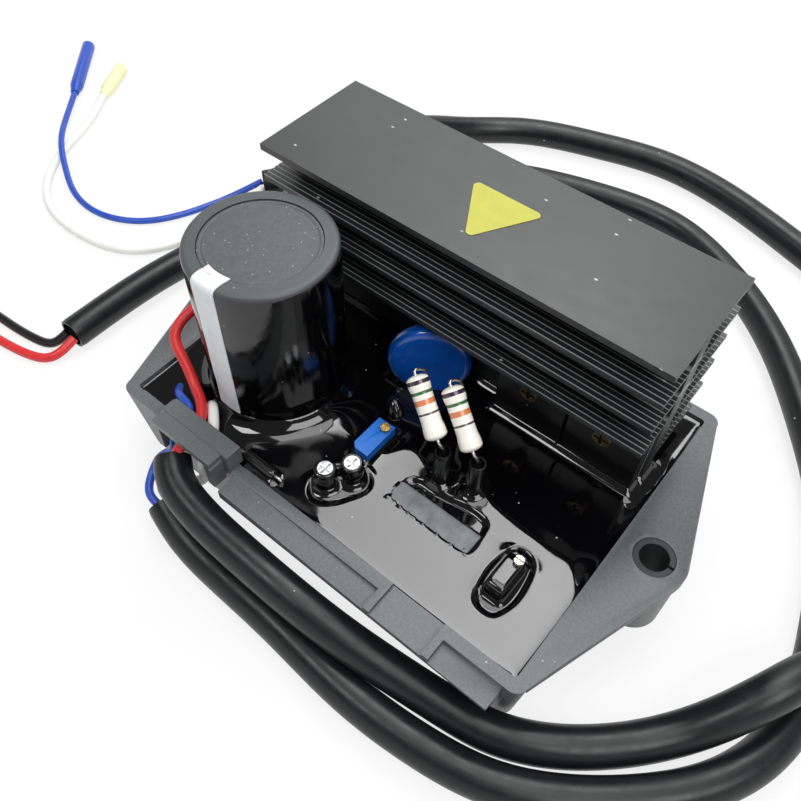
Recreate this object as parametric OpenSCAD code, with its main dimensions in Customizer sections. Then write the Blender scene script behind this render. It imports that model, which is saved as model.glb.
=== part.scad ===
// Potted generator voltage regulator: a moulded tray with fixing ears, filled with
// black resin around a circuit board, a finned heat sink and a tall filter capacitor,
// with two sleeved cable tails leaving through a clamp in the front wall.
// Origin: midway between the two fixing holes, on the mounting face. Millimetres, +Z up.

/* [Case] */
// Length of the tray over its rim
case_l = 125; // [118:1:140]
// Width of the tray over its rim
case_w = 91; // [88:1:110]
// Height of the rim above the mounting face
rim_z = 23; // [21.5:0.5:26]
// Thickness of the tray's walls
wall_t = 3.1; // [2:0.1:3.6]
// Thickness of the tray's floor
floor_t = 2.5; // [1.5:0.1:3.5]
// How far each wall leans inwards at the bottom
draft = 2; // [0:0.1:2.5]
// Radius of the tray's outer corners
corner_r = 3; // [2:0.5:5]

/* [Fixing ears] */
// Distance from the tray's side to the centre of a fixing hole
ear_reach = 5.5; // [5:0.5:12]
// Thickness of an ear
ear_t = 3; // [2:0.1:5]
// Radius of an ear's rounded tip
ear_tip_r = 8; // [7.5:0.1:10]
// Diameter of the pillar under an ear
pillar_d = 14.6; // [12:0.1:15]
// Thickness of the rib between a pillar and the tray
pillar_rib_t = 4; // [2:0.5:6]
// Height of the raised ring round a fixing hole
ring_h = 0.6; // [0.2:0.1:1.5]
// Outside diameter of the rolled steel bush
bush_od = 10; // [9:0.1:11]
// Bore of the rolled steel bush
bush_id = 6.8; // [5:0.1:7.6]
// Width of the bush's seam
bush_seam = 0.5; // [0.2:0.1:1]

/* [Front shelf] */
// How far the shelf stands out from the front wall
shelf_reach = 5.5; // [3:0.5:10]
// Thickness of the shelf
shelf_t = 3; // [2.5:0.1:5]
// Left end of the shelf
shelf_x0 = -20.5; // [-21:0.5:-10]
// Right end of the shelf
shelf_x1 = 58; // [52:0.5:59]
// Left side of the notch that crosses the rim
notch_x = 26.5; // [20:0.5:32]
// Length of the notch along the rim
notch_l = 14.5; // [6:0.5:18]
// Depth of the notch below the rim
notch_d = 1.2; // [0.5:0.1:1.4]
// Depth of the ramp at its lower end
ramp_d = 1.3; // [0.5:0.1:2]
// Depth of the right-hand pocket
pocket_d = 2; // [0.5:0.1:2.2]
// Width of the ribs beside the notch
rib_w = 1.8; // [1:0.1:3]
// Thickness of the gussets under the shelf
gusset_t = 2; // [1:0.1:3]
// Height of the gussets under the shelf
gusset_h = 8; // [4:0.5:14]

/* [Cable bridge and clamp] */
// Middle of the cable opening along the front wall
cable_x = -34; // [-36:0.5:-32]
// Width of the cable opening
cable_w = 18; // [16:0.5:20]
// Depth of the cable opening below the rim
cable_d = 1.3; // [0.5:0.1:1.4]
// Radius of the bridge's hollow upper corner
bridge_corner_r = 1.5; // [0.5:0.1:2]
// Radius of the mark at the clamp's end
clamp_mark_r = 0.6; // [0.3:0.1:0.9]
// Height of the bridge above the rim
bridge_h = 6; // [5:0.5:9]
// Depth of the bridge from front to back
bridge_w = 4.5; // [3.5:0.1:6]
// Width of the bridge's feet on the rim
foot_w = 3; // [2:0.1:4]
// Thickness of the bridge's and the clamp's tops
strap_t = 2; // [1.5:0.1:3]
// Depth of the clamp from front to back
clamp_w = 4; // [3:0.1:6]
// Width of the clamp's legs
leg_w = 2.2; // [1.5:0.1:3]
// How far the clamp's legs reach below the rim
leg_drop = 4; // [2:0.5:10]

/* [Resin and board] */
// Depth of the resin's surface below the rim
resin_gap = 1.5; // [1.4:0.1:3]
// Thickness of the circuit board
board_t = 1.6; // [1:0.1:2.4]
// Height of the board's upper face above the mounting face
board_z = 14; // [10:0.5:15]
// Gap between the board and the tray's walls
board_gap = 2; // [1:0.1:4]
// Diameter of the posts under the board
post_d = 6; // [4:0.5:8]
// Distance of the posts from the board's edges
post_inset = 5; // [4:0.5:8]
// Diameter of the pins that the parts stand on
pin_d = 0.8; // [0.5:0.1:1.2]
// Clearance round a pin in the board
pin_gap = 0.1; // [0.05:0.05:0.3]
// How far the pins stand out under the board
pin_out = 2; // [1:0.5:3]

/* [Heat sink] */
// Gap between the heat sink's ends and the tray's outer sides
sink_end = 7.5; // [7:0.5:15]
// Distance from the front wall's inside to the spine's front face
sink_back = 59.4; // [56:0.1:62]
// Thickness of the spine
spine_t = 5; // [4:0.1:7]
// Height of the heat sink's top above the mounting face
sink_z = 72.7; // [72:0.1:80]
// Spacing of the fins
fin_pitch = 8.73; // [8:0.01:8.9]
// Thickness of a fin
fin_t = 1.7; // [1.2:0.1:2.5]
// Reach of the fins in front of the spine
fin_front = 11.3; // [8:0.1:12]
// Reach of the fins behind the spine
fin_rear = 18.1; // [10:0.1:19]
// Number of fins in front of the spine
fins_front = 4; // [3:1:4]
// Number of fins behind the spine
fins_rear = 6; // [4:1:6]
// Spacing of the serrations along a fin
tooth_pitch = 1.4; // [1.2:0.1:2]
// Depth of the serrations
tooth_d = 0.35; // [0.2:0.05:0.4]

/* [Power devices] */
// Width of a package
device_w = 19.5; // [15:0.5:19.5]
// Height of a package
device_h = 26; // [22:0.5:26]
// Thickness of a package
device_t = 4.7; // [3.5:0.1:6]
// Height of a package's lower edge above the board
device_lift = 3; // [2:0.5:3.5]
// Distance from the heat sink's end to the middle of the outer package
device_in = 10.5; // [10:0.5:16]
// Spacing of the two packages
device_pitch = 20; // [19.8:0.1:22]
// Thickness of the insulating pads
pad_t = 0.3; // [0.2:0.1:0.6]
// Height of the screws above the lower edges of the packages
screw_up = 20.5; // [17:0.5:21]
// Diameter of the screws
screw_d = 3; // [2.5:0.1:3.5]
// Diameter of the screw heads
screw_head_d = 5.6; // [5:0.1:7]
// Height of the screw heads
screw_head_h = 2.1; // [1.5:0.1:3]
// Clearance round the screws
screw_gap = 0.05; // [0.05:0.05:0.2]

// Width of the slots in the screw heads
screw_slot_w = 0.8; // [0.5:0.1:1]
// How much narrower a screw head is at its outer face
screw_taper = 1; // [0.5:0.1:1.5]
// Bevel along the packages' front edges
package_bevel = 0.6; // [0.3:0.1:1]

/* [Filter capacitor] */
// Diameter of the capacitor
can_d = 35.6; // [30:0.1:36]
// Height of the capacitor's top above the mounting face
can_z = 68.3; // [55:0.1:80]
// Distance from the tray's left side to the capacitor's axis
can_in = 27.7; // [27:0.1:32]
// Distance from the front wall's inside to the capacitor's axis
can_front = 27.4; // [26.5:0.1:29]
// Radius of the sleeve's rolled upper edge
can_edge_r = 1.5; // [0.8:0.1:2.5]
// Diameter of the disc inside the sleeve's lip
disc_d = 28.4; // [24:0.1:29]
// Thickness of the disc
disc_t = 0.5; // [0.3:0.1:1]
// Height of the sleeve's lip above the disc
lip_h = 0.3; // [0.1:0.1:0.6]
// Width of the tape
tape_w = 6.8; // [4:0.1:10]
// Thickness of the tape
tape_t = 0.2; // [0.1:0.05:0.4]
// How far the tape reaches onto the disc
tape_on = 1.5; // [0.5:0.1:4]
// Length of the tape down the capacitor's side
tape_l = 43; // [20:0.5:45]

/* [Trimmers] */
// Width of a trimmer
trimmer_w = 5.2; // [4:0.1:7]
// Length of a trimmer
trimmer_l = 10.8; // [9:0.1:12]
// Height of a trimmer above the board
trimmer_h = 11; // [10:0.1:12]
// Distance of the adjusting screw from the trimmer's rear end
trimmer_screw_in = 1.9; // [1.7:0.1:3]
// Distance of the adjusting screw right of the trimmer's middle
trimmer_screw_off = 0.9; // [0:0.1:1]
// Diameter of the adjusting screw's shank
adjuster_d = 1.6; // [1.2:0.1:2]
// Diameter of the adjusting screw's head
adjuster_head_d = 2.5; // [2.2:0.1:3]
// Height of the adjusting screw's head
adjuster_head_h = 1.1; // [0.8:0.1:1.6]
// Length of the adjusting screw's shank
adjuster_l = 5; // [3:0.5:8]
// Running clearance round the adjusting screw
adjuster_gap = 0.06; // [0.03:0.01:0.1]

// Width of the slot in an adjusting screw
adjuster_slot_w = 0.5; // [0.4:0.05:0.7]
// Size of a trimmer's cut corner
trimmer_cut = 1.3; // [0.5:0.1:2]
// Place of the blue trimmer along the tray
trimmer_x = -1.5; // [-3:0.1:0]
// Distance of the blue trimmer from the front wall
trimmer_front = 26; // [24:0.1:27]
// Place of the coated trimmer along the tray
coated_x = 44.4; // [42:0.1:46]
// Distance of the coated trimmer from the front wall
coated_front = 17.5; // [14:0.1:19]

/* [Pins] */
// Pitch of the trimmers' pins
trimmer_pitch = 2.54; // [2:0.02:3]
// Pitch of the small capacitors' pins
small_pitch = 2; // [1.5:0.1:2.5]
// Pitch of the film capacitor's pins
film_pitch = 20; // [12:0.5:22]
// Pitch of the filter capacitor's pins
can_pitch = 10; // [7.5:0.5:12]
// Pitch of the power packages' pins
device_pin_pitch = 5.45; // [5:0.05:6]

/* [Small parts] */
// Diameter of the varistor's disc
varistor_d = 22; // [16:0.5:24]
// Thickness of the varistor's disc
varistor_t = 5; // [3:0.1:6]
// Place of the varistor along the tray
varistor_x = -3.4; // [-5:0.1:-2]
// Distance of the varistor's middle from the front wall
varistor_front = 50.6; // [49.6:0.1:51.6]
// Height of the varistor's middle
varistor_z = 30.8; // [29.5:0.1:31.5]
// Turn of the varistor seen from above
varistor_turn = 32; // [24:1:36]
// How far the varistor leans back
varistor_lean = -5; // [-10:1:0]
// Diameter of a resistor
resistor_d = 5.4; // [4:0.1:6]
// Length of a resistor
resistor_l = 15.6; // [12:0.1:17]
// Length of a resistor's fuller ends
resistor_end_l = 3; // [2:0.1:4]
// Rounding of a resistor's ends
resistor_round = 1; // [0.5:0.1:1.5]
// Depth of a resistor's waist
resistor_waist = 0.27; // [0.1:0.01:0.5]
// Place of the left resistor's lower end along the tray
resistor_x = 16.2; // [15:0.1:17]
// Distance of the left resistor's lower end from the front wall
resistor_front = 28; // [26:0.1:30]
// Height of the resistors' lower ends
resistor_z = 38; // [36.5:0.1:42]
// Step along the tray from the left to the right resistor
resistor_step_x = 8; // [7:0.1:9]
// Step away from the front wall from the left to the right resistor
resistor_step_y = 2.6; // [0:0.1:3]
// Direction of the resistors seen from above
resistor_turn = 154.3; // [150:0.1:160]
// Slope of the resistors
resistor_tilt = 38.2; // [30:0.1:42]
// Length of a wire's straight start at a resistor's end
wire_stub = 0.8; // [0.7:0.1:1.2]
// How far the rear wires bow out behind the resistors
wire_bow = 2.2; // [2:0.1:3]
// From a resistor's lower end along the tray to its front wire's foot
wire_foot_x = 1.5; // [1:0.1:2]
// From a resistor's lower end back to its front wire's foot
wire_foot_y = 0.4; // [0:0.1:1]
// From a resistor's lower end along the tray to its rear wire's foot
wire_rear_x = -12; // [-13:0.1:-11]
// From a resistor's lower end back to its rear wire's foot
wire_rear_y = 13.6; // [13:0.1:14.4]
// Diameter of the resistors' and the diode's wires
wire_d = 0.8; // [0.6:0.1:1]
// Diameter of the sleeves on the resistors' wires
lead_sleeve_d = 4.2; // [3.2:0.1:4.6]
// Height of those sleeves above the resin
lead_sleeve_h = 13.5; // [8:0.5:13.5]
// Place of the front small capacitor along the tray
small_x1 = -3.1; // [-4:0.1:-2]
// Distance of the front small capacitor from the front wall
small_front1 = 10.4; // [9:0.1:10.4]
// Place of the rear small capacitor along the tray
small_x2 = 0.8; // [0.8:0.1:2]
// Distance of the rear small capacitor from the front wall
small_front2 = 15.6; // [15.6:0.1:17]
// Diameter of a small electrolytic capacitor
small_d = 5.6; // [4:0.1:6]
// Height of a small electrolytic capacitor above the board
small_h = 14; // [12:0.5:18]
// Diameter of its bare metal top
small_top_d = 3.9; // [2.5:0.1:3.9]
// Thickness of its bare metal top
small_top_t = 0.4; // [0.2:0.1:0.8]
// Place of the film capacitor along the tray
film_x = 22.4; // [20:0.1:24]
// Distance of the film capacitor from the front wall
film_front = 19.5; // [17:0.1:21]
// Length of the film capacitor
film_l = 23.8; // [18:0.1:26]
// Width of the film capacitor
film_w = 6.5; // [5:0.1:8]
// Bevel along the film capacitor's upper edges
film_bevel = 0.5; // [0.2:0.1:1]
// Place of the axial diode along the tray
diode_x = -18; // [-19:0.1:-16]
// Distance of the axial diode from the front wall
diode_front = 3.1; // [2.5:0.1:4]
// Diameter of the axial diode
diode_d = 2.9; // [2:0.1:3.2]
// Length of the axial diode
diode_l = 10; // [7:0.5:11]
// Length of the straight wire at each end of the diode
diode_wire = 2; // [1.5:0.1:2.4]
// Place of the sticker along the heat sink
sticker_x = 1.5; // [-10:0.1:10]
// Distance of the sticker's middle behind the spine's front
sticker_in = 5.2; // [4.5:0.1:8]
// Length of one side of the triangular sticker
sticker_a = 19.5; // [10:0.5:21]
// Thickness of the sticker
sticker_t = 0.15; // [0.1:0.05:0.3]
// Radius of the sticker's corners
sticker_r = 1.2; // [0.5:0.1:2]

/* [Cables] */
// Outside diameter of a cable sleeve
sleeve_d = 9.5; // [8:0.1:9.5]
// Diameter of the red, white and black wires
lead_d = 2.8; // [1.5:0.1:2.8]
// Diameter of the blue wire
thin_lead_d = 2.2; // [1.5:0.1:2.2]
// Diameter of the insulated ends
terminal_d = 5; // [4:0.1:6]
// Length of the insulated ends
terminal_l = 20; // [12:0.5:24]
// Length of the blue wire's insulated end
blue_end_l = 34; // [20:0.5:40]

/* [Hidden] */
$fn = 64;
hull_fn = 32;
eps = 0.01;

// Main reference planes and lines
half_l = case_l / 2;
half_w = case_w / 2;
front_in = wall_t - half_w;
resin_z = rim_z - resin_gap;
hole_x = half_l + ear_reach;
bush_z = rim_z + ring_h;
board_under = board_z - board_t;
spine_y = front_in + sink_back;
sink_l = case_l - 2 * sink_end;
device_z = board_z + device_lift;
device_x2 = sink_l / 2 - device_in;
device_x1 = device_x2 - device_pitch;
device_front = spine_y - pad_t - device_t;
screw_z = device_z + screw_up;
can_x = can_in - half_l;
can_y = front_in + can_front;
disc_z = can_z - lip_h;
trimmer_z = board_z + trimmer_h;
film_h = resin_z - board_z;

// Places of the small parts: x from the middle, y from the front wall's inside
trimmer_at = [trimmer_x, front_in + trimmer_front];
coated_at = [coated_x, front_in + coated_front];
small_at = [[small_x1, front_in + small_front1], [small_x2, front_in + small_front2]];
film_at = [film_x, front_in + film_front];
diode_at = [diode_x, front_in + diode_front];
varistor_at = [varistor_x, front_in + varistor_front, varistor_z];
sticker_at = [sticker_x, spine_y + sticker_in];
adjuster_off = [trimmer_screw_off, trimmer_l / 2 - trimmer_screw_in];

// Resistors: the lower ends, the direction of both bodies, and the feet of their wires on the resin
resistor_low = [
    for (k = [0, 1])
        [resistor_x + k * resistor_step_x, front_in + resistor_front + k * resistor_step_y, resistor_z]
];
resistor_dir = [
    cos(resistor_tilt) * cos(resistor_turn), cos(resistor_tilt) * sin(resistor_turn), sin(resistor_tilt)
];
resistor_foot = [for (p = resistor_low) [p[0] + wire_foot_x, p[1] + wire_foot_y]];
resistor_rear = [for (p = resistor_low) [p[0] + wire_rear_x, p[1] + wire_rear_y]];

// The capacitor's left edge and its front, which the leads pass
can_side = can_x - can_d / 2;
can_face = can_y - can_d / 2;

// Heights of tubes that lie on the table
sleeve_z = sleeve_d / 2;
tail_z = lead_d / 2 + 0.1;
thin_tail_z = thin_lead_d / 2 + 0.1;
end_z = terminal_d / 2 + 0.1;

// Small helpers
function unit(v) = v / norm(v);
function arc(c, r, a0, a1, n) = [for (i = [0 : n]) let (a = a0 + (a1 - a0) * i / n) c + r * [cos(a), sin(a)]];

// How far a wall leans in at height z
function lean(z) = draft * (1 - z / rim_z);

// A drafted block with round corners between two heights, set in from the tray's outer face
module drafted_block(inset, r, z0, z1) {
    hull()
        for (z = [z0, z1], sx = [-1, 1], sy = [-1, 1])
            translate([
                sx * (half_l - inset - lean(z) - r),
                sy * (half_w - inset - lean(z) - r),
                z - (z == z0 ? 0 : eps)
            ])
                cylinder(r = r, h = eps, $fn = hull_fn);
}

// The inside of the tray, from its floor up to a height
module cavity(top) {
    drafted_block(wall_t, max(corner_r - wall_t, 1), floor_t, top);
}

// A straight round rod between two points
module rod(a, b, d) {
    v = b - a;
    translate(a)
        rotate([0, acos(v[2] / norm(v)), atan2(v[1], v[0])])
            cylinder(d = d, h = norm(v), $fn = 24);
}

// Direction of a route at point i: along the chord between its neighbours
function heading(p, i) = unit(p[min(i + 1, len(p) - 1)] - p[max(i - 1, 0)]);

// A ring of n points round a route's point, square to the route or lying in a plane with the given normal.
// The reference direction is one that the route never takes.
function ring(p, i, r, n, ref, plane) =
    let (t = heading(p, i), s = unit(cross(t, ref)), u = cross(s, t), m = plane == undef ? t : plane)
    [
        for (k = [0 : n - 1])
            let (a = 360 * (k + 0.5) / n, w = r * (cos(a) * s + sin(a) * u))
            p[i] + w - t * (w * m) / (t * m)
    ];

// A flexible tube swept along a route, with its ends cut square or along the given planes
module cable(route, d, sides, ref = [0, 0, 1], start = undef, finish = undef) {
    last = len(route) - 1;
    planes = [for (i = [0 : last]) i == 0 ? start : i == last ? finish : undef];
    rings = [for (i = [0 : last]) each ring(route, i, d / 2, sides, ref, planes[i])];
    sides_faces = [
        for (i = [0 : last - 1], k = [0 : sides - 1])
            let (a = i * sides + k, b = i * sides + (k + 1) % sides)
            each [[a, a + sides, b + sides], [a, b + sides, b]]
    ];
    near_cap = [for (k = [0 : sides - 1]) k];
    far_cap = [for (k = [sides - 1 : -1 : 0]) last * sides + k];
    polyhedron(rings, concat(sides_faces, [near_cap, far_cap]));
}

// A point moved along a route's end direction into the plane of that end
function at_end(p, route, i) = p - heading(route, i) * ((p - route[i]) * heading(route, i));

// Cable routes, along the middle of each tube
upper_route = [
    [cable_x - 3.6, -half_w - 5.2, 20], [cable_x - 0.2, -half_w - 7.9, 19],
    [cable_x + 9, -half_w - 10.6, 17.4], [-9, -half_w - 11.5, 16],
    [8, -half_w - 11.5, 14.8], [22, -half_w - 10.5, 12.2], [34, -half_w - 8.7, 9.2],
    [half_l - 13.5, -half_w - 6.1, 6.2], [half_l - 1.5, -half_w - 3.3, sleeve_z],
    [half_l + 9.5, 2.3 - half_w, sleeve_z], [half_l + 21.5, -33, sleeve_z], [half_l + 32.5, -20, 8],
    [half_l + 40.5, -7, 15], [half_l + 45.5, 3, 15.5], [half_l + 52.5, 15, 12.5],
    [half_l + 56.5, 34, 6], [half_l + 56.5, half_w + 16.5, sleeve_z],
    [half_l + 47.5, half_w + 52.5, sleeve_z], [half_l + 23.5, half_w + 80.5, sleeve_z],
    [50, half_w + 96.5, sleeve_z], [20, half_w + 105.5, sleeve_z], [-8, half_w + 107.5, sleeve_z],
    [-32, half_w + 101.5, sleeve_z], [-half_l + 4.5, half_w + 90.5, sleeve_z],
    [-half_l - 11.5, half_w + 74.5, 6.5], [-half_l - 19.5, half_w + 55.5, 13],
    [-half_l - 23.5, half_w + 38.5, 15], [-half_l - 26.5, half_w + 20.5, 13.4], [-half_l - 31.5, 44, 6],
    [-half_l - 39.5, 6, sleeve_z], [-half_l - 41.5, -36, sleeve_z]
];
lower_route = [
    [cable_x - 2, -half_w - 12, 9], [cable_x + 7, -half_w - 14.2, 6.2], [-14, -half_w - 15.3, sleeve_z],
    [8, -half_w - 16, sleeve_z], [29, -half_w - 17.3, sleeve_z], [half_l - 11.5, -half_w - 15.8, sleeve_z],
    [half_l + 3.5, -half_w - 12.2, sleeve_z], [half_l + 16.5, -half_w - 5.3, sleeve_z],
    [half_l + 29.5, 5.2 - half_w, sleeve_z], [half_l + 40.5, -27.5, sleeve_z],
    [half_l + 46.5, -14, sleeve_z], [half_l + 48, 0, sleeve_z], [half_l + 44, 22, sleeve_z],
    [half_l + 35.5, half_w + 1.5, sleeve_z], [half_l + 17.5, half_w + 29.5, sleeve_z],
    [half_l - 4.5, half_w + 54.5, sleeve_z], [34, half_w + 71.5, sleeve_z], [12, half_w + 79.5, sleeve_z],
    [-16, half_w + 76.5, sleeve_z], [-42, half_w + 67.5, sleeve_z], [-half_l - 2.5, half_w + 53.5, sleeve_z],
    [-half_l - 21.5, half_w + 36.5, sleeve_z], [-half_l - 47.5, half_w + 5.5, sleeve_z]
];
upper_last = len(upper_route) - 1;
lower_last = len(lower_route) - 1;
red_route = [
    [can_side - 2.4, can_y + 13, resin_z], [can_side - 2.7, can_y + 9.5, 26], [can_side - 3.4, can_y + 3, 34],
    [can_side - 3.9, can_y - 7, 37.5], [can_side - 3.9, can_y - 14.5, 34],
    [can_side + 2.1, can_face + 0.3, 30], [can_side + 7.6, can_face - 2, 27],
    [cable_x - 6, can_face - 4.7, 26.2], [cable_x - 2.3, 2.5 - half_w, 25.4],
    [cable_x - 2, -half_w - 0.8, 25.2], [cable_x - 2.1, -half_w - 3.1, 23.8],
    at_end([cable_x - 2.2, -half_w - 5, 22.1], upper_route, 0)
];
black_route = [
    [can_side + 2.6, can_face + 1.3, resin_z], [can_side + 5.1, can_face - 0.8, 23.8],
    [can_side + 8.1, can_face - 3, 23.6], [cable_x - 6.3, 6 - half_w, 23.3],
    [cable_x - 4.6, 2 - half_w, 23.4], [cable_x - 4.1, -half_w - 0.8, 22.9],
    [cable_x - 4.2, -half_w - 2.9, 20.2], at_end([cable_x - 3.9, -half_w - 5.8, 18.1], upper_route, 0)
];
white_route = [
    [can_side + 11.6, can_face - 1.5, resin_z], [can_side + 14, can_face - 2.7, 24.4],
    [cable_x - 0.5, 6.5 - half_w, 24.2], [cable_x + 2.5, 2.5 - half_w, 24.1],
    [cable_x + 3.7, -half_w - 0.5, 23.6], [cable_x + 4.1, -half_w - 2.1, 21],
    [cable_x + 3.2, -half_w - 2, 14.5], [cable_x - 0.8, -half_w - 4.5, 10.4],
    [cable_x - 5, -half_w - 7.1, 10], [cable_x - 5.7, -half_w - 9.3, 9.8],
    [cable_x - 3.2, -half_w - 10.5, 9.4], at_end([cable_x - 0.6, -half_w - 10.9, 9], lower_route, 0)
];
blue_route = [
    [can_side + 0.6, can_face - 2.2, resin_z], [can_side + 4.1, can_face - 5, 24],
    [can_side + 8.1, 6.6 - half_w, 25.3], [cable_x - 7.9, 5.5 - half_w, 25.4],
    [cable_x - 6.6, 2 - half_w, 25.2], [cable_x - 6.6, -half_w - 1, 23.6],
    [cable_x - 6.7, -half_w - 2.5, 18.6], [cable_x - 10.5, -half_w - 5, 13.5],
    [cable_x - 10, -half_w - 9, 10.8], [cable_x - 6.5, -half_w - 13, 9.6],
    at_end([cable_x - 0.8, -half_w - 13.7, 8.6], lower_route, 0)
];
red_tail_route = [
    at_end([-half_l - 39.9, -36.4, 4.6], upper_route, upper_last), [-half_l - 41.5, -44.5, 2],
    [-half_l - 49.5, -48.5, tail_z], [-half_l - 61.5, -50.5, tail_z], [-half_l - 73.5, -52, tail_z],
    [-half_l - 89.5, -56, end_z]
];
black_tail_route = [
    at_end([-half_l - 43.3, -36.4, 4.6], upper_route, upper_last), [-half_l - 45.1, -40.5, 2.4],
    [-half_l - 51.5, -43, tail_z], [-half_l - 61.5, -44.3, tail_z], [-half_l - 71.5, -45, tail_z],
    [-half_l - 89.5, -48, end_z]
];
white_tail_route = [
    at_end([-half_l - 46.3, half_w + 4.1, 4.6], lower_route, lower_last),
    [-half_l - 48.5, half_w - 7.5, tail_z],
    [-half_l - 50.5, half_w - 31.5, tail_z], [-half_l - 59.5, half_w - 44.5, tail_z],
    [-half_l - 77.5, half_w - 50.5, tail_z], [-half_l - 100.5, half_w - 47.5, tail_z],
    [-half_l - 117.5, half_w - 31.5, tail_z], [-half_l - 127.5, half_w - 9.5, tail_z],
    [-half_l - 135.5, half_w + 4.5, end_z]
];
blue_tail_route = [
    at_end([-half_l - 49.1, half_w + 6.4, 4.6], lower_route, lower_last), [-half_l - 55, half_w - 5.5, 1.4],
    [-half_l - 59.5, half_w - 18.5, thin_tail_z], [-half_l - 68.5, half_w - 32.5, thin_tail_z],
    [-half_l - 82.5, half_w - 39.5, thin_tail_z], [-half_l - 100.5, half_w - 37.5, 1.6],
    [-half_l - 109.5, half_w - 33, 3], [-half_l - 120.5, half_w - 26, 4.5],
    [-half_l - 132.5, half_w - 15.5, 3.4], [-half_l - 145.5, half_w - 1.5, end_z]
];

// Pins of the parts on the board: one [x, y, height] for each
trimmer_pins = [for (c = [trimmer_at, coated_at], k = [-1, 0, 1]) [c[0], c[1] + trimmer_pitch * k, 0]];
small_pins = [for (c = small_at, k = [-1, 1]) [c[0] + small_pitch / 2 * k, c[1], 0]];
film_pins = [for (k = [-1, 1]) [film_at[0] + film_pitch / 2 * k, film_at[1], 0]];
can_pins = [for (k = [-1, 1]) [can_x + can_pitch / 2 * k, can_y, 0]];
device_pins = [
    for (c = [device_x1, device_x2], k = [-1, 0, 1])
        [c + device_pin_pitch * k, device_front + device_t / 2, device_lift]
];
pins = concat(trimmer_pins, small_pins, film_pins, can_pins, device_pins);

// Corner of an ear on the tray's side and the point where its edge meets the round tip
ear_corner = [half_l, half_w - corner_r];
ear_v = ear_corner - [hole_x, 0];
ear_turn = atan2(ear_v[1], ear_v[0]) - acos(ear_tip_r / norm(ear_v));
ear_tangent = [hole_x, 0] + ear_tip_r * [cos(ear_turn), sin(ear_turn)];

module ear() {
    translate([0, 0, rim_z - ear_t])
        linear_extrude(ear_t) {
            polygon([
                [half_l - wall_t, ear_corner[1]], ear_corner, ear_tangent,
                [ear_tangent[0], -ear_tangent[1]], [ear_corner[0], -ear_corner[1]],
                [half_l - wall_t, -ear_corner[1]]
            ]);
            translate([hole_x, 0])
                circle(r = ear_tip_r);
        }
    translate([hole_x, 0, 0])
        cylinder(d = pillar_d, h = rim_z);
    translate([hole_x, 0, rim_z])
        cylinder(d1 = bush_od + 5, d2 = bush_od + 3, h = ring_h);
    translate([half_l - draft - wall_t / 2, -pillar_rib_t / 2, 0])
        cube([hole_x - half_l + draft + wall_t / 2, pillar_rib_t, rim_z - ear_t]);
}

// The shelf along the front wall, with gussets under it
module shelf() {
    root = wall_t / 2;
    translate([shelf_x0, -half_w - shelf_reach, rim_z - shelf_t])
        cube([shelf_x1 - shelf_x0, shelf_reach + root, shelf_t]);
    for (x = [shelf_x0, shelf_x0 / 2 + notch_x / 2, notch_x + notch_l, shelf_x1 - gusset_t])
        translate([x, 0, rim_z - shelf_t])
            rotate([90, 0, 90])
                linear_extrude(gusset_t)
                    polygon([
                        [-half_w - shelf_reach + 1, 0], [-half_w + root, 0],
                        [-half_w + root + lean(rim_z - shelf_t - gusset_h), -gusset_h],
                        [-half_w + lean(rim_z - shelf_t - gusset_h), -gusset_h]
                    ]);
}

// What is cut from the shelf's top: a ramp, the notch across the rim and a pocket
module shelf_cuts() {
    front = -half_w - shelf_reach - 1;
    translate([0, -half_w, rim_z])
        rotate([90, 0, 0])
            linear_extrude(shelf_reach + 1)
                polygon([[shelf_x0, 0], [notch_x - rib_w, -ramp_d], [notch_x - rib_w, 1], [shelf_x0, 1]]);
    translate([notch_x, front, rim_z - notch_d])
        cube([notch_l, shelf_reach + 1 + wall_t + 1, notch_d + 1]);
    translate([notch_x + notch_l + rib_w, front, rim_z - pocket_d])
        cube([shelf_x1 - notch_x - notch_l - rib_w + 1, shelf_reach + 1, pocket_d + 1]);
}

// Posts that carry the board
module posts() {
    dx = half_l - wall_t - draft - board_gap - post_inset;
    dy = half_w - wall_t - draft - board_gap - post_inset;
    for (sx = [-1, 1], sy = [-1, 1])
        translate([sx * dx, sy * dy, floor_t - eps])
            cylinder(d = post_d, h = board_under - floor_t + eps);
}

module case() {
    color([0.13, 0.13, 0.13]) {
        difference() {
            union() {
                drafted_block(0, corner_r, 0, rim_z);
                ear();
                mirror([1, 0, 0])
                    ear();
                shelf();
            }
            cavity(rim_z + 1);
            shelf_cuts();
            translate([cable_x - cable_w / 2, -half_w - 1, rim_z - cable_d])
                cube([cable_w, wall_t + 2, cable_d + 1]);
            for (s = [-1, 1])
                translate([s * hole_x, 0, -1])
                    cylinder(d = bush_od, h = bush_z + 2);
        }
        posts();
    }
}

module ear_bushes() {
    color([0.35, 0.35, 0.36])
        for (s = [-1, 1])
            translate([s * hole_x, 0, 0])
                difference() {
                    cylinder(d = bush_od, h = bush_z);
                    translate([0, 0, -1])
                        cylinder(d = bush_id, h = bush_z + 2);
                    translate([s * bush_od / 2, 0, bush_z / 2])
                        cube([bush_od, bush_seam, bush_z + 2], center = true);
                }
}

// The bridge stands on the rim over the wires
module cable_bridge() {
    top = rim_z + bridge_h;
    full = cable_w + 2 * foot_w;
    color([0.1, 0.1, 0.1])
        translate([cable_x, -half_w, 0])
            rotate([90, 0, 0])
                mirror([0, 0, 1])
                    linear_extrude(bridge_w)
                        difference() {
                            translate([-full / 2, rim_z])
                                square([full, bridge_h]);
                            translate([-cable_w / 2, rim_z - 1])
                                square([cable_w, bridge_h - strap_t + 1]);
                            translate([-full / 2, top])
                                circle(r = bridge_corner_r);
                        }
}

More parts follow.
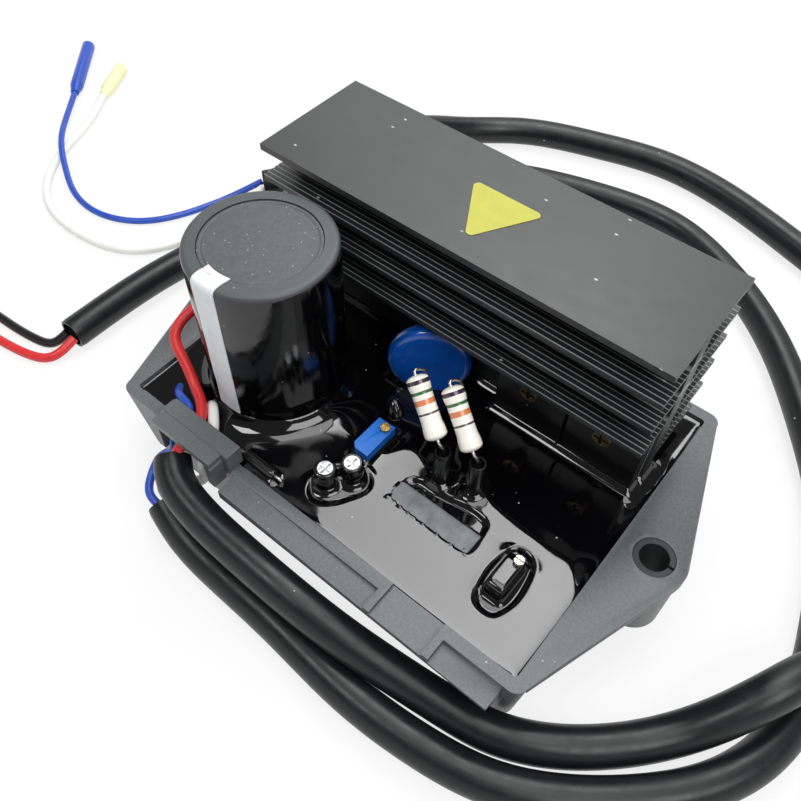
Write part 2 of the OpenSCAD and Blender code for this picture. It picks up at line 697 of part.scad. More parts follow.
// The clamp lies against the bridge and the front wall, with a leg at each end
module cable_clamp() {
    top = rim_z + bridge_h;
    color([0.08, 0.08, 0.08])
        translate([cable_x, -half_w, 0])
            rotate([90, 0, 0])
                linear_extrude(clamp_w)
                    difference() {
                        translate([-cable_w / 2 - leg_w / 2, rim_z - leg_drop])
                            square([cable_w + leg_w, bridge_h + leg_drop]);
                        translate([-cable_w / 2 + leg_w / 2, rim_z - leg_drop - 1])
                            square([cable_w - leg_w, bridge_h + leg_drop - strap_t + 1]);
                        translate([cable_w / 2 + leg_w / 2, top - strap_t])
                            circle(r = clamp_mark_r);
                    }
}

module circuit_board() {
    dx = half_l - wall_t - draft - board_gap;
    dy = half_w - wall_t - draft - board_gap;
    color([0.1, 0.3, 0.15])
        difference() {
            translate([-dx, -dy, board_under])
                cube([2 * dx, 2 * dy, board_t]);
            for (p = pins)
                translate([p[0], p[1], board_under - 1])
                    cylinder(d = pin_d + 2 * pin_gap, h = board_t + 2, $fn = 16);
        }
}

module board_pins() {
    color([0.7, 0.68, 0.62])
        for (p = pins)
            translate([p[0], p[1], board_under - pin_out])
                cylinder(d = pin_d, h = pin_out + board_t + p[2], $fn = 16);
}

// One fin in the plane across the heat sink: serrated above and below, flat on top if it is the first
module fin_outline(y0, y1, top, flat) {
    n = floor((y1 - y0) / tooth_pitch);
    step = (y1 - y0) / n;
    low = top - fin_t;
    under = [for (i = [0 : n - 1]) each [[y0 + i * step, low], [y0 + (i + 0.5) * step, low + tooth_d]]];
    over = [for (i = [n : -1 : 1]) each [[y0 + i * step, top], [y0 + (i - 0.5) * step, top - tooth_d]]];
    polygon(concat(under, [[y1, low]], flat ? [[y1, top]] : over, [[y0, top]]));
}

// Tapped holes in the spine for the two screws
module spine_holes() {
    for (x = [device_x1, device_x2])
        translate([x, spine_y - 1, screw_z])
            rotate([-90, 0, 0])
                cylinder(d = screw_d + 2 * screw_gap, h = spine_t + 2);
}

module heat_sink() {
    rear_y = spine_y + spine_t;
    color([0.1, 0.1, 0.1])
        difference() {
            translate([-sink_l / 2, 0, 0])
                rotate([90, 0, 90])
                    linear_extrude(sink_l) {
                        translate([spine_y, board_z])
                            square([spine_t, sink_z - board_z]);
                        for (i = [0 : fins_front - 1])
                            fin_outline(spine_y - fin_front, spine_y, sink_z - i * fin_pitch, i == 0);
                        for (i = [0 : fins_rear - 1])
                            fin_outline(rear_y, rear_y + fin_rear, sink_z - i * fin_pitch, i == 0);
                    }
            spine_holes();
        }
}

// A flat power package with a bevelled front edge and a hole for its screw
module package(x) {
    bevel = package_bevel;
    color([0.07, 0.07, 0.07])
        difference() {
            translate([x - device_w / 2, device_front, device_z])
                rotate([90, 0, 90])
                    linear_extrude(device_w)
                        polygon([
                            [0, bevel], [bevel, 0], [device_t, 0],
                            [device_t, device_h], [bevel, device_h], [0, device_h - bevel]
                        ]);
            translate([x, device_front - 1, screw_z])
                rotate([-90, 0, 0])
                    cylinder(d = screw_d + 2 * screw_gap, h = device_t + 2);
        }
}

module power_transistor() {
    package(device_x1);
}

module rectifier_module() {
    package(device_x2);
}

module insulating_pads() {
    color([0.75, 0.75, 0.72])
        for (x = [device_x1, device_x2])
            difference() {
                translate([x - device_w / 2, spine_y - pad_t, device_z])
                    cube([device_w, pad_t, device_h]);
                translate([x, spine_y - pad_t - 1, screw_z])
                    rotate([-90, 0, 0])
                        cylinder(d = screw_d + 2 * screw_gap, h = pad_t + 2);
            }
}

module device_screws() {
    face_d = screw_head_d - screw_taper;
    color([0.7, 0.6, 0.35])
        for (x = [device_x1, device_x2])
            translate([x, device_front, screw_z])
                rotate([-90, 0, 0])
                    difference() {
                        union() {
                            translate([0, 0, -screw_head_h])
                                cylinder(d1 = face_d, d2 = screw_head_d, h = screw_head_h);
                            cylinder(d = screw_d, h = device_t + pad_t + spine_t);
                        }
                        for (a = [0, 90])
                            rotate(a)
                                translate([0, 0, -screw_head_h])
                                    cube([face_d - screw_taper, screw_slot_w, screw_head_h], center = true);
                    }
}

// Half section of the sleeved can, with a rolled edge and a shallow seat for the disc
module filter_capacitor() {
    r = can_d / 2;
    color([0.06, 0.06, 0.06])
        translate([can_x, can_y, 0])
            rotate_extrude()
                polygon(concat(
                    [[0, board_z], [r - 1, board_z], [r, board_z + 1]],
                    arc([r - can_edge_r, can_z - can_edge_r], can_edge_r, 0, 90, 6),
                    [[disc_d / 2, can_z], [disc_d / 2, disc_z - disc_t], [0, disc_z - disc_t]]
                ));
}

module capacitor_disc() {
    color([0.2, 0.2, 0.2])
        translate([can_x, can_y, disc_z - disc_t])
            cylinder(d = disc_d, h = disc_t);
}

// Tape from the disc over the rolled edge and down the front of the can
module tape_strip() {
    r = can_d / 2;
    edge = [r - can_edge_r, can_z - can_edge_r];
    color([0.93, 0.94, 0.95])
        translate([can_x, can_y, 0])
            intersection() {
                rotate_extrude()
                    polygon(concat(
                        [[disc_d / 2 - tape_on, disc_z], [disc_d / 2 - lip_h, disc_z], [disc_d / 2, can_z]],
                        arc(edge, can_edge_r, 90, 0, 6),
                        [[r, can_z - tape_l], [r + tape_t, can_z - tape_l]],
                        arc(edge, can_edge_r + tape_t, 0, 90, 6),
                        [
                            [disc_d / 2 - tape_t / 2, can_z + tape_t],
                            [disc_d / 2 - lip_h - tape_t / 2, disc_z + tape_t],
                            [disc_d / 2 - tape_on, disc_z + tape_t]
                        ]
                    ));
                translate([-tape_w / 2, -can_d, can_z - tape_l - 1])
                    cube([tape_w, can_d, tape_l + 3]);
            }
}

module varistor() {
    r = varistor_t / 2;
    color([0.1, 0.35, 0.75])
        translate(varistor_at)
            rotate([0, 0, varistor_turn])
                rotate([90 + varistor_lean, 0, 0])
                    rotate_extrude()
                        polygon(concat(
                            [[0, -r]],
                            arc([varistor_d / 2 - r, 0], r, -90, 90, 10),
                            [[0, r]]
                        ));
}

// A resistor's body: a slim barrel with fuller ends, along +Z from its lower end
module resistor(i) {
    r = resistor_d / 2;
    d = unit(resistor_dir);
    waist = r - resistor_waist;
    tip = r - resistor_round;
    swell = resistor_end_l + resistor_round;
    color([0.85, 0.8, 0.72])
        translate(resistor_low[i])
            rotate([0, acos(d[2]), atan2(d[1], d[0])])
                rotate_extrude()
                    polygon([
                        [0, 0], [tip, 0], [r, resistor_round], [r, resistor_end_l], [waist, swell],
                        [waist, resistor_l - swell], [r, resistor_l - resistor_end_l],
                        [r, resistor_l - resistor_round], [tip, resistor_l], [0, resistor_l]
                    ]);
}

module resistor_left() {
    resistor(0);
}

module resistor_right() {
    resistor(1);
}

// Wires: from the lower end down through a sleeve, and from the upper end over and down behind
module resistor_wires() {
    d = unit(resistor_dir);
    color([0.7, 0.7, 0.7])
        for (i = [0, 1]) {
            low = resistor_low[i];
            high = low + resistor_l * d;
            foot = resistor_foot[i];
            rear = resistor_rear[i];
            sleeve_top = resin_z + lead_sleeve_h;
            cable([
                low, low - wire_stub * d, [foot[0], foot[1], sleeve_top],
                [foot[0], foot[1], sleeve_top - 3 * wire_stub], [foot[0], foot[1], resin_z]
            ], wire_d, 8, [0, 1, 0]);
            cable([
                high, high + wire_stub * d, high + [0, wire_bow, 0],
                high + [wire_bow / 2, 1.4 * wire_bow, -2 * wire_bow],
                [rear[0], rear[1], resin_z + 5 * wire_stub], [rear[0], rear[1], resin_z]
            ], wire_d, 8, [1, 0, 0]);
        }
}

module resistor_wire_sleeves() {
    color([0.05, 0.05, 0.05])
        for (f = resistor_foot)
            translate([f[0], f[1], resin_z])
                difference() {
                    cylinder(d = lead_sleeve_d, h = lead_sleeve_h - 1);
                    translate([0, 0, -1])
                        cylinder(d = wire_d + 2 * pin_gap, h = lead_sleeve_h + 2, $fn = 24);
                }
}

// Outline of a trimmer round its middle, with one corner cut
module trimmer_outline() {
    x = trimmer_w / 2;
    y = trimmer_l / 2;
    polygon([[trimmer_cut - x, -y], [x, -y], [x, y], [-x, y], [-x, trimmer_cut - y]]);
}

// A multi-turn trimmer with a round well for its adjusting screw
module trimmer_block(at) {
    difference() {
        translate([at[0], at[1], board_z])
            linear_extrude(trimmer_h)
                trimmer_outline();
        translate([at[0] + adjuster_off[0], at[1] + adjuster_off[1], trimmer_z - adjuster_l - adjuster_gap])
            cylinder(d = adjuster_d + 2 * adjuster_gap, h = adjuster_l + 1);
    }
}

// An adjusting screw with a slotted head
module adjuster(at) {
    translate([at[0] + adjuster_off[0], at[1] + adjuster_off[1], trimmer_z]) {
        translate([0, 0, -adjuster_l])
            cylinder(d = adjuster_d, h = adjuster_l + adjuster_gap);
        translate([0, 0, adjuster_gap])
            difference() {
                cylinder(d = adjuster_head_d, h = adjuster_head_h);
                translate([0, 0, adjuster_head_h])
                    cube([adjuster_head_d + 1, adjuster_slot_w, adjuster_head_h], center = true);
            }
    }
}

module trimmer() {
    color([0.1, 0.35, 0.7])
        trimmer_block(trimmer_at);
}

module trimmer_screw() {
    color([0.75, 0.65, 0.35])
        adjuster(trimmer_at);
}

module coated_trimmer() {
    color([0.06, 0.06, 0.06])
        trimmer_block(coated_at);
}

module coated_trimmer_screw() {
    color([0.8, 0.78, 0.7])
        adjuster(coated_at);
}

// Sleeved bodies of the small electrolytics, with a seat for the bare top
module small_capacitors() {
    color([0.06, 0.06, 0.06])
        for (c = small_at)
            translate([c[0], c[1], board_z])
                difference() {
                    cylinder(d = small_d, h = small_h);
                    translate([0, 0, small_h - small_top_t])
                        cylinder(d = small_top_d, h = small_top_t + 1);
                }
}

module small_capacitor_tops() {
    color([0.85, 0.85, 0.85])
        for (c = small_at)
            translate([c[0], c[1], board_z + small_h - small_top_t])
                cylinder(d = small_top_d, h = small_top_t);
}

module film_capacitor() {
    color([0.3, 0.3, 0.3])
        translate([film_at[0] - film_l / 2, film_at[1], board_z])
            rotate([90, 0, 90])
                linear_extrude(film_l)
                    polygon([
                        [-film_w / 2, 0], [film_w / 2, 0], [film_w / 2, film_h - film_bevel],
                        [film_w / 2 - film_bevel, film_h], [film_bevel - film_w / 2, film_h],
                        [-film_w / 2, film_h - film_bevel]
                    ]);
}

module diode() {
    color([0.08, 0.08, 0.08])
        translate([diode_at[0] - diode_l / 2, diode_at[1], resin_z + diode_d / 2])
            rotate([0, 90, 0])
                cylinder(d = diode_d, h = diode_l);
}

module diode_wires() {
    z = resin_z + diode_d / 2;
    color([0.75, 0.75, 0.75])
        for (s = [-1, 1]) {
            x0 = diode_at[0] + s * diode_l / 2;
            x1 = x0 + s * diode_wire;
            cable([
                [x0, diode_at[1], z], [x1 - s * wire_d / 2, diode_at[1], z],
                [x1, diode_at[1], z - wire_d / 2],
                [x1, diode_at[1], resin_z]
            ], wire_d, 8, [0, 1, 0]);
        }
}

// Everything that stands in the resin or is set into it
module set_in_resin() {
    posts();
    circuit_board();
    board_pins();
    for (p = pins)
        translate([p[0], p[1], board_under])
            cylinder(d = pin_d + 2 * pin_gap, h = board_t, $fn = 16);
    heat_sink_foot();
    for (x = [device_x1, device_x2])
        translate([x - device_w / 2, device_front, device_z])
            cube([device_w, device_t + pad_t, device_h]);
    translate([can_x, can_y, board_z])
        cylinder(d = can_d, h = can_z - board_z);
    varistor();
    for (c = [trimmer_at, coated_at])
        translate([c[0], c[1], board_z])
            linear_extrude(trimmer_h)
                trimmer_outline();
    for (c = small_at)
        translate([c[0], c[1], board_z])
            cylinder(d = small_d, h = small_h);
    translate([film_at[0] - film_l / 2, film_at[1] - film_w / 2, board_z])
        cube([film_l, film_w, film_h + 1]);
}

// The spine's foot, as the resin meets it
module heat_sink_foot() {
    translate([-sink_l / 2, spine_y, board_z])
        cube([sink_l, spine_t, sink_z - board_z]);
}

module potting_resin() {
    color([0.03, 0.03, 0.035])
        difference() {
            cavity(resin_z);
            set_in_resin();
            tape_strip();
        }
}

// A blank triangular sticker with round corners
module sticker() {
    r = sticker_a / sqrt(3) - 2 * sticker_r;
    color([0.9, 0.75, 0.1])
        translate([sticker_at[0], sticker_at[1], sink_z])
            linear_extrude(sticker_t)
                hull()
                    for (a = [30, 150, 270])
                        translate(r * [cos(a), sin(a)])
                            circle(r = sticker_r, $fn = hull_fn);
}

// A lead from the resin's surface to the mouth of the sleeve that it goes into
module lead(route, d, sleeve) {
    cable(route, d, 8, [0, 0, 1], [0, 0, 1], heading(sleeve, 0));
}

// A wire tail from the far end of its sleeve
module tail(route, d, sleeve) {
    cable(route, d, 8, [0, 0, 1], heading(sleeve, len(sleeve) - 1));
}

module red_lead() {
    color([0.8, 0.1, 0.1])
        lead(red_route, lead_d, upper_route);
}

module black_lead() {
    color([0.05, 0.05, 0.05])
        lead(black_route, lead_d, upper_route);
}

module white_lead() {
    color([0.92, 0.92, 0.9])
        lead(white_route, lead_d, lower_route);
}

module blue_lead() {
    color([0.1, 0.2, 0.7])
        lead(blue_route, thin_lead_d, lower_route);
}

module upper_sleeve() {
    color([0.06, 0.06, 0.06])
        cable(upper_route, sleeve_d, 10);
}

module lower_sleeve() {
    color([0.06, 0.06, 0.06])
        cable(lower_route, sleeve_d, 10);
}

module red_tail() {
    color([0.8, 0.1, 0.1])
        tail(red_tail_route, lead_d, upper_route);
}

module black_tail() {
    color([0.05, 0.05, 0.05])
        tail(black_tail_route, lead_d, upper_route);
}

module white_tail() {
    color([0.92, 0.92, 0.9])
        tail(white_tail_route, lead_d, lower_route);
}

module blue_tail() {
    color([0.1, 0.2, 0.7])
        tail(blue_tail_route, thin_lead_d, lower_route);
}

// Insulated push-on ends, each in line with the last stretch of its wire
module terminals() {
    for (end = [
        [red_tail_route, terminal_l], [black_tail_route, terminal_l],
        [white_tail_route, terminal_l], [blue_tail_route, blue_end_l]
    ]) {
        route = end[0];
        last = route[len(route) - 1];
        d = heading(route, len(route) - 1);
        flat = unit([d[0], d[1], 0]);
        color([0.85, 0.8, 0.5])
            rod(last, last + end[1] * flat, terminal_d);
    }
}

case();
ear_bushes();
cable_bridge();
cable_clamp();
potting_resin();
circuit_board();
board_pins();
heat_sink();
power_transistor();
rectifier_module();
insulating_pads();
device_screws();
filter_capacitor();
capacitor_disc();
tape_strip();
varistor();
resistor_left();
resistor_right();
resistor_wires();
resistor_wire_sleeves();
trimmer();
trimmer_screw();
coated_trimmer();
coated_trimmer_screw();
small_capacitors();
small_capacitor_tops();
film_capacitor();
diode();
diode_wires();
sticker();
red_lead();
black_lead();
white_lead();
blue_lead();
upper_sleeve();
lower_sleeve();
red_tail();
black_tail();
white_tail();
blue_tail();
terminals();
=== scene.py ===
"""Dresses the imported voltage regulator: surfaces, finishes, cables, light and camera."""

import logging
import math
from dataclasses import dataclass, field
from enum import Enum
from functools import lru_cache
from typing import Sequence

import bmesh
import bpy
import numpy as np
from mathutils import Matrix, Vector
from numpy.typing import NDArray


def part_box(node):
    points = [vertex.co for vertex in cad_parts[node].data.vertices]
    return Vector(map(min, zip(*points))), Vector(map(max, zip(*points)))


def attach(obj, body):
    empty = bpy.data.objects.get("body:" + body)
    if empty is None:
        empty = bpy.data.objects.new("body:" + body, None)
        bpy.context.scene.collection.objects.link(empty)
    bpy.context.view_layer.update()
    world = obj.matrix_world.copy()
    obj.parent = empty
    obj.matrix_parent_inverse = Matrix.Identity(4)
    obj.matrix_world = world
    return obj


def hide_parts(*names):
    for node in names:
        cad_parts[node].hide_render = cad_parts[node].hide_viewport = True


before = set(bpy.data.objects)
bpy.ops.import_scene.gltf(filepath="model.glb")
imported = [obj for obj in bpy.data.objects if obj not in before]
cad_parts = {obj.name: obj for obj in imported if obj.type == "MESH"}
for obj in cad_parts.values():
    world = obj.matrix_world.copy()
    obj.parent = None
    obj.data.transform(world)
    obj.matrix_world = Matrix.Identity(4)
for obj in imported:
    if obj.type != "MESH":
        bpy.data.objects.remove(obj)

Array = NDArray[np.float64]
Colour = tuple[float, float, float]
Pair = tuple[float, float]
Point = tuple[float, float, float]
Route = tuple[Point, ...]
Outline = tuple[Pair, ...]
Piece = bpy.types.Object
Socket = bpy.types.NodeSocket

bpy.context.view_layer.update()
LOG = logging.getLogger("regulator")
MM = 0.001
TINY = 1e-12
GRID_WELD = 1e-7
NODE_WELD = 1e-6
FLAT_ANGLE = 0.5
WHITE = (1.0, 1.0, 1.0, 1.0)


class Body(Enum):
    """The bodies that pieces ride on."""

    REGULATOR = "regulator"
    TRIMMER = "trimmer_adjuster"
    COATED = "coated_trimmer_adjuster"


class Pattern(Enum):
    """Where a finish takes its place on the surface from."""

    PLAIN = "plain"
    BANDS = "bands"
    # Colour blended in by the along attribute: the matt rim of the can's sleeve, and painted
    # highlight lines on the heat sink's fin crests.
    EDGES_AND_HIGHLIGHTS = "edges"


# Surfaces


def grid_faces(rows: int, cols: int, wrap: bool) -> NDArray[np.int64]:
    """Quads between neighbouring points of a grid, each row after the other.

    Args:
        rows: Number of rows.
        cols: Number of points in a row.
        wrap: Whether a row's last point joins its first.

    Returns:
        One row of four point numbers for each quad.
    """
    r = np.arange(rows - 1)[:, None] * cols
    c = np.arange(cols if wrap else cols - 1)[None, :]
    n = (c + 1) % cols
    return np.stack([r + c, r + n, r + cols + n, r + cols + c], -1).reshape(-1, 4)


def unit(v: Array) -> Array:
    """Vectors at length one along the last axis."""
    return v / np.maximum(np.linalg.norm(v, axis=-1, keepdims=True), TINY)


def signed_power(v: Array, power: float) -> Array:
    """The power of each value's size, with the value's own sign."""
    return np.sign(v) * np.abs(v) ** power


def smooth_step(t: Array) -> Array:
    """Rises from 0 to 1 as t does, level at both ends: 3 t^2 - 2 t^3."""
    t = np.clip(t, 0, 1)
    return t**2 * (3 - 2 * t)


def ring_angles(sides: int) -> Array:
    """Even angles once round a ring, in radians."""
    return np.linspace(0.0, 2 * math.pi, sides, endpoint=False)


class Shape:
    """Collects grids of points in millimetres and makes one mesh object of them."""

    def __init__(self) -> None:
        """Starts with no points."""
        self.points: list[Array] = []
        self.faces: list[list[int]] = []
        self.along: list[Array] = []
        self.count = 0

    def add(
        self, grid: Array, wrap: bool = True, caps: bool = True, along: Array | None = None
    ) -> "Shape":
        """Adds one grid.

        Args:
            grid: Points as rows, columns and coordinates.
            wrap: Whether each row is a closed ring.
            caps: Whether the first and last ring are closed with a face.
            along: One value for each row, kept as the attribute "along".

        Returns:
            The shape itself.
        """
        rows, cols = grid.shape[:2]
        self.faces += (grid_faces(rows, cols, wrap) + self.count).tolist()
        if wrap and caps:
            first = np.arange(cols) + self.count
            self.faces += [first[::-1].tolist(), (first + (rows - 1) * cols).tolist()]
        values = np.linspace(0.0, 1.0, rows) if along is None else along
        self.points.append(grid.reshape(-1, 3))
        self.along.append(np.repeat(values, cols))
        self.count += rows * cols
        return self

    def build(self, name: str, sharp: float = 40.0) -> Piece:
        """Makes the object, with doubles merged and faces turned outwards.

        Args:
            name: Name of the object.
            sharp: Angle in degrees above which an edge stays sharp.

        Returns:
            The new object.
        """
        mesh = bpy.data.meshes.new(name)
        mesh.from_pydata((np.concatenate(self.points) * MM).tolist(), [], self.faces)
        layer = mesh.attributes.new("along", "FLOAT", "POINT")
        layer.data.foreach_set("value", np.concatenate(self.along).astype(np.float32))
        return finish_mesh(mesh, name, sharp, GRID_WELD)


def finish_mesh(
    mesh: bpy.types.Mesh, name: str, sharp: float, weld: float, dissolve: bool = False
) -> Piece:
    """Merges a mesh's doubles, turns its faces outwards and puts it into an object.

    Args:
        mesh: The mesh to finish.
        name: Name of the object.
        sharp: Angle in degrees above which an edge stays sharp.
        weld: Distance in metres under which points are merged.
        dissolve: Whether flat neighbours become one face.

    Returns:
        The new object, linked to the scene.
    """
    work = bmesh.new()
    work.from_mesh(mesh)
    bmesh.ops.remove_doubles(work, verts=work.verts, dist=weld)
    if dissolve:
        flat = math.radians(FLAT_ANGLE)
        bmesh.ops.dissolve_limit(work, angle_limit=flat, verts=work.verts, edges=work.edges)
    bmesh.ops.recalc_face_normals(work, faces=work.faces)
    work.to_mesh(mesh)
    work.free()
    mesh.polygons.foreach_set("use_smooth", np.ones(len(mesh.polygons), dtype=bool))
    mesh.set_sharp_from_angle(angle=math.radians(sharp))
    piece = bpy.data.objects.new(name, mesh)
    bpy.context.scene.collection.objects.link(piece)
    return piece


def eased_copy(node: str, width: float, segments: int = 2, angle: float = 35.0) -> Piece:
    """A copy of a CAD node with its sharp edges rounded.

    Args:
        node: Name of the node.
        width: Width of the rounding in millimetres.
        segments: Number of steps across the rounding.
        angle: Angle in degrees above which an edge is rounded.

    Returns:
        The new object.
    """
    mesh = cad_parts[node].data.copy()
    piece = finish_mesh(mesh, f"{node}_eased", angle, NODE_WELD, dissolve=True)
    bevel = piece.modifiers.new("eased", "BEVEL")
    bevel.width = width * MM
    bevel.segments = segments
    bevel.limit_method = "ANGLE"
    bevel.angle_limit = math.radians(angle)
    bevel.harden_normals = True
    return piece


def eased_profile(turns: Sequence[Pair], radii: Sequence[float], steps: int = 6) -> Array:
    """An open profile whose corners are rounded by quadratic curves.

    The curve at a corner runs from a point one radius before it to one radius after it:
    (1 - t)^2 start + 2 t (1 - t) corner + t^2 end.

    Args:
        turns: Radius and height of each corner.
        radii: Rounding at each corner, 0 at both ends.
        steps: Points on each curve.

    Returns:
        Radius and height of each point.
    """
    c = np.asarray(turns, float)
    r = np.asarray(radii, float)[:, None]
    before = c + unit(np.roll(c, 1, 0) - c) * r
    after = c + unit(np.roll(c, -1, 0) - c) * r
    t = np.linspace(0.0, 1.0, steps)[None, :, None]
    curve = (1 - t) ** 2 * before[:, None] + 2 * t * (1 - t) * c[:, None] + t**2 * after[:, None]
    return curve.reshape(-1, 2)


def revolve(profile: Array, sides: int = 64) -> Array:
    """Turns a profile of radius and height round the Z axis: x = r cos a, y = r sin a.

    Args:
        profile: Radius and height of each point.
        sides: Points on a ring.

    Returns:
        The grid of points.
    """
    a = ring_angles(sides)
    r, z = profile[:, :1], profile[:, 1:]
    return np.stack([r * np.cos(a), r * np.sin(a), z + 0 * a], -1)


def aim(grid: Array, origin: Point, axis: Point) -> Array:
    """Moves a grid made round the Z axis to an origin, with +Z turned to an axis."""
    turn = np.array(Vector((0, 0, 1)).rotation_difference(Vector(axis)).to_matrix())
    return grid @ turn.T + np.asarray(origin, float)


def distances(line: Array) -> Array:
    """Distance of each point of a polyline from its start, along the line."""
    return np.concatenate([[0.0], np.cumsum(np.linalg.norm(np.diff(line, axis=0), axis=1))])


def even_steps(line: Array, spacing: float) -> Array:
    """Points at even steps along a polyline, its ends included.

    Args:
        line: Points of the polyline.
        spacing: Step along it, rounded so that whole steps fit.

    Returns:
        The new points.
    """
    d = distances(line)
    steps = np.linspace(0.0, d[-1], max(int(round(d[-1] / spacing)), 2) + 1)
    return np.stack([np.interp(steps, d, line[:, k]) for k in range(3)], -1)


def smooth_route(route: Sequence[Point], spacing: float, fineness: int = 60) -> Array:
    """A natural cubic spline through a route's points, with points at even steps along it.

    Each stretch is a cubic in chord length; the second derivatives m solve the usual
    tridiagonal equations and are zero at both ends.

    Args:
        route: Points in millimetres.
        spacing: Step along the curve in millimetres.
        fineness: Points worked out for each point of the route.

    Returns:
        Points on the curve.
    """
    p = np.asarray(route, float)
    t = distances(p)
    h, n = np.diff(t), len(t)
    inner = np.arange(1, n - 1)
    a, b = np.eye(n), np.zeros((n, 3))
    a[inner, inner - 1], a[inner, inner + 1] = h[:-1], h[1:]
    a[inner, inner] = 2 * (h[:-1] + h[1:])
    b[inner] = 6 * np.diff(np.diff(p, axis=0) / h[:, None], axis=0)
    m = np.linalg.solve(a, b)
    s = np.linspace(0.0, t[-1], fineness * n)
    k = np.clip(np.searchsorted(t, s, side="right") - 1, 0, n - 2)
    u, v, w = (s - t[k])[:, None], (t[k + 1] - s)[:, None], h[k][:, None]
    fine = (m[k] * v**3 + m[k + 1] * u**3) / (6 * w)
    fine += (p[k] / w - m[k] * w / 6) * v + (p[k + 1] / w - m[k + 1] * w / 6) * u
    return even_steps(fine, spacing)


def clear_direction(tangent: Array, tries: int = 240) -> Array:
    """The direction that stays furthest from being parallel to any of a path's tangents.

    Tries points spread evenly over a half sphere along a golden spiral.

    Args:
        tangent: The path's tangents.
        tries: Number of directions tried.

    Returns:
        The direction, of length one.
    """
    k = np.arange(tries) + 0.5
    z, turn = k / tries, k * math.pi * (3.0 - math.sqrt(5.0))
    r = np.sqrt(1 - z**2)
    ways = np.stack([r * np.cos(turn), r * np.sin(turn), z], -1)
    return ways[np.abs(tangent @ ways.T).max(0).argmin()]


def sweep(path: Array, radius: float, sides: int) -> Array:
    """A round tube along a path: each ring is path + r (cos a side + sin a up).

    Side is square to the path and to one direction that is never parallel to it, and up is
    square to both.

    Args:
        path: Points along the middle.
        radius: Radius of the tube.
        sides: Points on a ring.

    Returns:
        The grid of points.
    """
    tangent = unit(np.gradient(path, axis=0))
    side = unit(np.cross(tangent, clear_direction(tangent)))
    up = np.cross(side, tangent)
    a = ring_angles(sides)[None, :, None]
    return path[:, None] + radius * (np.cos(a) * side[:, None] + np.sin(a) * up[:, None])


def open_tube(
    path: Array, outer: float, inner: float, depth: int, lip: float, sides: int
) -> Array:
    """A tube whose ends are open mouths: the wall turns in at each end and runs back inside.

    Args:
        path: Points along the middle.
        outer: Outside radius.
        inner: Inside radius.
        depth: How many path points each mouth is deep.
        lip: Rounding of the mouth's edge.
        sides: Points on a ring.

    Returns:
        The grid of points, from the bottom of one mouth to the bottom of the other.
    """
    last = len(path) - 1
    mouth = np.arange(depth + 1)
    index = np.concatenate([mouth[::-1], [0, 0], np.arange(1, last), [last, last], last - mouth])
    radius = np.concatenate([
        np.full(depth + 1, inner), [inner + lip, outer - lip], np.full(last - 1, outer),
        [outer - lip, inner + lip], np.full(depth + 1, inner),
    ])
    rings = sweep(path, 1.0, sides)[index]
    middle = path[index][:, None]
    return middle + (rings - middle) * radius[:, None, None]


# Finishes

NOISE_ROUGHNESS = 0.6
MOTTLE_RANGE = (0.3, 0.7)
SPOT_RANGE = (0.05, 0.13)
ROUGH_SCALE = 0.4
DUST_ROUGHNESS = 0.8
GRAIN_DETAIL = 2.0


def linear(colour: Colour) -> tuple[float, float, float, float]:
    """A colour as the linear values that a shader takes, by the usual two-part curve.

    Args:
        colour: The colour as the eye sees it, in 0 to 255.

    Returns:
        The linear colour, opaque.
    """
    c = np.asarray(colour, float) / 255.0
    low = c / 12.92
    high = ((c + 0.055) / 1.055) ** 2.4
    return (*np.where(c <= 0.04045, low, high).tolist(), 1.0)


